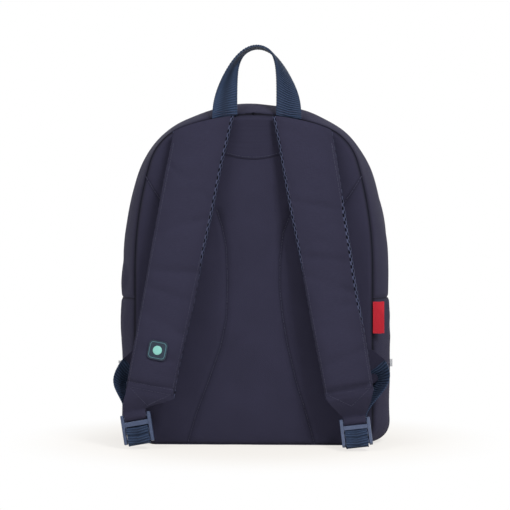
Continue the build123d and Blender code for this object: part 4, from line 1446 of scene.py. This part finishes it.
for name, side in SIDES.items():
    sign = side["sign"]
    dress(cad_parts["ladder_lock_" + name], lock_plastic, "lock_plastic")
    turned = lock_frame(side).to_3x3()
    lock_across = turned.col[0].copy()
    points = [Vector((0, up, out)) / 1000 for up, out in LOCK_ROUTE]
    points += [Vector((-sign * inwards, up, out)) / 1000 for inwards, up, out in TAIL_ROUTE]
    stations = []
    for index, point in enumerate(points):
        run = points[min(index + 1, len(points) - 1)] - points[max(index - 1, 0)]
        outward = turned @ Vector((1, 0, 0)).cross(Vector((0, run.y, run.z)).normalized())
        stations.append((at_lock(side, *point), lock_across, outward, WEBBING_WIDTH))
    threaded = strip_of("lock_webbing_cloth_" + name, stations, WEBBING, 0.0005, rib=WEBBING_RELIEF)
    dress(threaded, webbing_cloth, "webbing", "lock_webbing_" + name)
    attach(threaded, "lock_" + name)

    sewn = Vector((sign * (SEAM_HALF + RUN_START[0]), BACK_Y - RUN_START[1], ANCHOR_Z))
    bow = Vector((sign * (SEAM_HALF + side["bow"]), BACK_Y - RUN_BOW[0], ANCHOR_Z + RUN_BOW[1]))
    behind = at_lock(side, *RUN_BEHIND)
    end = at_lock(side, *RUN_END)
    first = Vector((sign, 0, 0.3)).normalized()
    stations = []
    for part in evenly(0, 1, 10):
        rest = 1 - part
        point = sewn * rest**3 + bow * (3 * part * rest**2) + behind * (3 * part**2 * rest) + end * part**3
        run = sewn * -(rest**2) + bow * (rest**2 - 2 * part * rest)
        run = (run + behind * (2 * part * rest - part**2) + end * part**2).normalized()
        across = first * rest + lock_across * sign * part + RUN_TURN * math.sin(math.pi * part) ** 0.7
        outward = run.cross(across).normalized()
        stations.append((point, outward.cross(run).normalized(), outward, WEBBING_WIDTH))
    slack = strip_of("adjuster_webbing_" + name, stations, WEBBING, 0.0005, rib=WEBBING_RELIEF)
    dress(slack, webbing_cloth, "webbing", "adjuster_run_" + name)
    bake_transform(slack)

    corner = grid(
        "anchor_tab_cloth_" + name,
        evenly(0, 1, 10),
        evenly(-0.5, 0.5, 12),
        functools.partial(anchor_cloth, *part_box("anchor_tab_" + name), sign),
    )
    facing_away(corner, (0, 0, 0.09))
    thicken(corner, CLOTH - 0.0002, smooth=1)
    dress(corner, navy_cloth, "bag_cloth", "anchor_tab_" + name)
    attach(corner, "bag")

# Grab handle. A loop of wide webbing: its two feet are sewn flat into the top of the back seam,
# and its legs turn a quarter so that the top of the loop stands on edge.
HANDLE_WIDTH = 0.030
HANDLE = 0.0018
HANDLE_SPAN = 0.075
HANDLE_RISE = 0.080
HANDLE_LEAN = math.radians(10)
HANDLE_Y = BACK_FACE - 0.0012
HANDLE_SHIFT = 0.004
(_, crown_z), crown = SEAM[0][:2]
foot = HANDLE_SPAN / 2
foot_z = crown_z + math.sqrt(crown**2 - foot**2) - 0.0012
slope = math.asin(foot / crown)
rise = crown_z + crown + HANDLE_RISE - foot_z
stations = []
for turn in evenly(0, math.pi, 28):
    up = rise * math.sin(turn) ** 0.75
    centre = Vector((HANDLE_SHIFT - foot * math.cos(turn), HANDLE_Y + up * math.sin(HANDLE_LEAN), foot_z + up))
    twist = math.radians(90 * math.sin(turn) ** 1.5)
    steep = slope * math.cos(turn) + math.radians(35) * math.sin(2 * turn)
    flat = Vector((math.cos(steep), 0, math.sin(steep)))
    across = (flat * math.cos(twist) + Vector((0, math.cos(HANDLE_LEAN), 0)) * math.sin(twist)).normalized()
    run = Vector((foot * math.sin(turn), 0, rise * math.cos(turn))).normalized()
    stations.append((centre, across, run.cross(across).normalized(), HANDLE_WIDTH))
loop = strip_of("grab_handle_webbing", stations, HANDLE, 0.0005, rib=0.00020)
dress(loop, webbing_cloth, "webbing", "grab_handle")
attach(loop, "handle")

# Stitching. Each seam that shows is sewn with a doubled polyester thread a little lighter than the
# cloth. Its stitches are pulled down into the cloth, so they are laid on the finished surfaces.
THREAD = 0.00055
STITCH = (0.0026, THREAD, THREAD * 0.8)
STITCH_STEP = 0.0034
thread_finish = patterned(
    "navy_thread", CAST, {"Light": colour(74, 74, 98), "Dark": colour(48, 48, 68)},
    vector="object", bump=0.0001, strength=0.4, Specular_IOR_Level=0.2,
)


def stitched(name, surface, route, into):
    """A row of stitches on a surface: the route is dropped onto it, and stitches are laid along it."""
    tree = BVHTree.FromPolygons(
        [v.co for v in surface.data.vertices], [tuple(f.vertices) for f in surface.data.polygons]
    )
    dropped = []
    for index in range(len(route) - 1):
        pieces = max(round((route[index + 1] - route[index]).length / 0.0008), 1)
        for part in range(pieces):
            point = route[index].lerp(route[index + 1], part / pieces)
            ray = into(point) if callable(into) else into
            place, normal = tree.ray_cast(point - ray * 0.03, ray, 0.07)[:2]
            if place:
                dropped.append((place, normal))
    places, run = [], STITCH_STEP
    for (before, _), (here, normal) in zip(dropped, dropped[1:]):
        move = (here - before).length
        run += move
        if move > STITCH_STEP:
            run = STITCH_STEP
        elif run >= STITCH_STEP and move > 0:
            run -= STITCH_STEP
            along = (here - before).normalized()
            across = normal.cross(along).normalized()
            turned = Matrix((along, across, along.cross(across))).transposed().to_4x4()
            turned.translation = here + normal * THREAD * 0.15
            places.append(turned)
    row = row_of(name, places, STITCH, 0.00015)
    return dress(row, thread_finish, "bag_cloth")


INTO_BACK = Vector((0, 1, 0))


def beside_outline(shape, rows, inset, y, reach):
    """A route inside an outline, at a depth, for a length on both sides of its top."""
    route = []
    for step in range(-80, 81):
        place, outward = spot(shape, at_length(rows, step / 80 * reach or 0.00001))
        route.append(place - outward * inset + Vector((0, y, 0)))
    return route


for index, quilt in enumerate(BACK_QUILT):
    quilt_line = [Vector((x, BACK_FACE, z)) for x, z in quilt]
    row = stitched("back_quilt_stitches_%d" % (index + 1), back, quilt_line, INTO_BACK)
    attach(row, "bag")
yoke_line = [Vector((x / 1000, BACK_FACE, yoke_foot(x / 1000) + 0.0030)) for x in range(-64, 65, 4)]
row = stitched("back_yoke_stitches", yoke, yoke_line, INTO_BACK)
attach(row, "bag")

for name, cloth, side in (("zip_stitches_rear", rear, -1), ("zip_stitches_front", strip, 1)):
    y = ZIP_Y + side * (TAPE + 0.0020)
    middle = Vector((0, y, ZIP_CENTRE[1]))
    zip_line = [on_zip_round(angle, y, 0) for angle in evenly(2 - ZIP_END, ZIP_END - 2, 200)]
    row = stitched(name, cloth, zip_line, lambda p: (middle - p).normalized())
    if side < 0:
        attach(row, "bag")
    else:
        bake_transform(row)

front_line = beside_outline(SEAM, SEAM_RUN, 0.0055, FRONT_FACE, PANEL_RUN - 0.07)
row = stitched("front_stitches", front, front_line, -INTO_BACK)
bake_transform(row)
pocket_line = beside_outline(POCKET, POCKET_RUN, 0.0060, POCKET_FACE, POCKET_LENGTH)
row = stitched("pocket_stitches", face, pocket_line, -INTO_BACK)
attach(row, "bag")

TAB_SEAMS = {
    "cross": [(-0.92, 0.001), (0.92, 0.001)],
    "cross_low": [(-0.88, 0.007), (0.88, 0.007)],
    "vee": [(-0.80, 0.008), (0.0, 0.024), (0.80, 0.008)],
}
for name, side in SIDES.items():
    cover, tab = bpy.data.objects["strap_cover_cloth_" + name], bpy.data.objects["strap_tab_cloth_" + name]
    into = -strap_frame(side, 0.5)[2]
    for edge in (-0.90, 0.90):
        outer = edge * side["sign"] > 0
        edge_line = []
        for share in evenly(0.06, 0.99, 59):
            centre, across, outward, half = strap_frame(side, share)
            edge_line.append(centre + across * half * edge + outward * 0.006)
        title = "strap_edge_stitches_%s_%s" % (name, "out" if outer else "in")
        row = stitched(title, cover, edge_line[4:] if outer else edge_line, into)
        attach(row, "strap_" + name)
    centre, across, outward, half = strap_frame(side, 0.965)
    down = across.cross(outward)
    if down.z > 0:
        down = -down
    for title, line in TAB_SEAMS.items():
        tab_line = [centre + across * half * x + down * z + outward * 0.006 for x, z in line]
        row = stitched("strap_%s_stitches_%s" % (title, name), tab, tab_line, -outward)
        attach(row, "strap_" + name)

FOOT_SEAM_LINE = ((-0.012, 0.0035), (0.012, 0.0035), (0.012, 0.0065), (-0.012, 0.0065))
for name, x in (("left", HANDLE_SHIFT - foot), ("right", HANDLE_SHIFT + foot)):
    foot_line = [Vector((x + across, HANDLE_Y, foot_z + up)) for across, up in FOOT_SEAM_LINE]
    row = stitched("handle_stitches_" + name, loop, foot_line, INTO_BACK)
    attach(row, "handle")

# Badge. A moulded rubber square sewn on the left strap, bare, with a raised line round its edge and
# a plain round boss in its middle.
BADGE_LOW, BADGE_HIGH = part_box("strap_badge")
BADGE_HALF = 0.0110
BADGE_ROUND = 0.0050
BADGE_LINE = 0.0006
BADGE_RISE = 0.0012
BOSS = 0.0052


def rubber(name, light, dark):
    """A moulded rubber of two close colours."""
    colours = {"Light": colour(*light), "Dark": colour(*dark)}
    return patterned(name, PLASTIC, colours, vector="object", bump=0.00005, strength=0.4)


badge_rubber = rubber("badge_rubber", (30, 54, 76), (16, 32, 50))
line_rubber = rubber("badge_line_rubber", (98, 150, 160), (70, 118, 132))
mint_rubber = rubber("badge_mint_rubber", (166, 232, 222), (128, 200, 192))
dress(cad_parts["strap_badge"], badge_rubber, "badge")
share = (STRAP_TOP.z - (BADGE_LOW.z + BADGE_HIGH.z) / 2) / (STRAP_TOP.z - STRAP_FOOT_Z)
_, across, outward, _ = strap_frame(SIDES["left"], share)
badge_at = Matrix((across, outward.cross(across), outward)).transposed().to_4x4()
badge_at.translation = (BADGE_LOW + BADGE_HIGH) / 2


def on_badge(name, primitive, material, rounding):
    """A raised detail of the badge: a primitive made flat on it, rounded and turned into place."""
    primitive()
    detail = bpy.context.object
    detail.name = detail.data.name = name
    soft = detail.modifiers.new("soft", "BEVEL")
    soft.width, soft.segments = rounding, 3
    apply_all(detail)
    detail.data.transform(badge_at)
    if badge_at.determinant() < 0:
        detail.data.flip_normals()
    smooth_faces(detail)
    dress(detail, material, "badge")
    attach(detail, "strap_left")


def boss_disc():
    bpy.ops.mesh.primitive_cylinder_add(vertices=48, radius=BOSS, depth=BADGE_RISE, location=(0, 0, 0))
    bpy.context.object.data.transform(Matrix.Translation((0, 0, 0.0007)))


def raised_line():
    bpy.ops.mesh.primitive_plane_add(size=2 * (BADGE_HALF - 0.0016))
    bpy.ops.object.mode_set(mode="EDIT")
    bpy.ops.mesh.bevel(offset=BADGE_ROUND - 0.0012, segments=6, affect="VERTICES")
    bpy.ops.mesh.inset(thickness=BADGE_LINE)
    bpy.ops.mesh.delete(type="FACE")
    bpy.ops.object.mode_set(mode="OBJECT")
    band = bpy.context.object
    rise = band.modifiers.new("rise", "SOLIDIFY")
    rise.thickness, rise.offset = BADGE_RISE, 0
    apply_all(band)
    band.data.transform(Matrix.Translation((0, 0, 0.0003)))


on_badge("strap_badge_boss", boss_disc, mint_rubber, 0.0003)
on_badge("strap_badge_line", raised_line, line_rubber, 0.0001)

# Seam label. A bare strip of woven ribbon, folded double, with its two ends caught in the back
# seam at the right. Its fold stands out past the seam.
LABEL_LOW, LABEL_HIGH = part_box("seam_label")
LABEL_MIDDLE = (LABEL_LOW + LABEL_HIGH) / 2
LABEL_GAP = 0.0009
FOLD_SHARE = 0.1
RIBBON = 0.00035
LABEL_REACH = LABEL_HIGH.x - LABEL_LOW.x
LABEL_SHIFT = 0.0018
label_weave = patterned(
    "red_label_weave", WEAVE,
    {"Yarn": 0.0004, "Light": colour(226, 40, 60), "Dark": colour(184, 16, 40), "Mottle": 0.3},
    bump=0.0002,
)


def folded_label(around, height):
    """around goes from one end of the ribbon to its other, by way of the fold."""
    out = min(abs(1 - abs(around)) / 0.9, 1.0)
    flat = LABEL_REACH - LABEL_GAP / 2
    if abs(around) > FOLD_SHARE:
        x, apart = flat * (1 - abs(around)) / 0.9, LABEL_GAP / 2
    else:
        turn = around / FOLD_SHARE * math.pi / 2
        x, apart = flat + LABEL_GAP / 2 * math.cos(turn), LABEL_GAP / 2 * math.sin(abs(turn))
    curl = 0.0016 * (x / LABEL_REACH) ** 2 * math.sin(height * 3 + 0.4)
    return Vector((
        LABEL_LOW.x + LABEL_SHIFT + x,
        LABEL_MIDDLE.y - curl + math.copysign(apart, around),
        LABEL_LOW.z + (LABEL_HIGH.z - LABEL_LOW.z) * height + 0.0004 * math.sin(9 * x / LABEL_REACH) * out,
    ))


around = evenly(-1, -0.2, 8) + evenly(-FOLD_SHARE, FOLD_SHARE, 8) + evenly(0.2, 1, 8)
label = grid("seam_label_ribbon", around, evenly(0, 1, 24), folded_label)
for cloth_uv, corner in zip(label.data.uv_layers[0].data, label.data.loops):
    place = label.data.vertices[corner.vertex_index].co
    cloth_uv.uv = (place.x, place.z)
facing_away(label, LABEL_MIDDLE)
thicken(label, RIBBON)
dress(label, label_weave, "label", "seam_label")
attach(label, "bag")

# Reflectors. Two short flags of silver tape with glass beads in its face, folded into the side
# cloth at the bag's widest place.
silver = patterned(
    "glass_bead_tape", CAST, {"Light": colour(236, 238, 242), "Dark": colour(196, 200, 206)},
    vector="object", bump=0.00004, strength=0.5, Specular_IOR_Level=0.7,
)
for name in SIDES:
    dress(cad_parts["reflector_" + name], silver, "reflective")
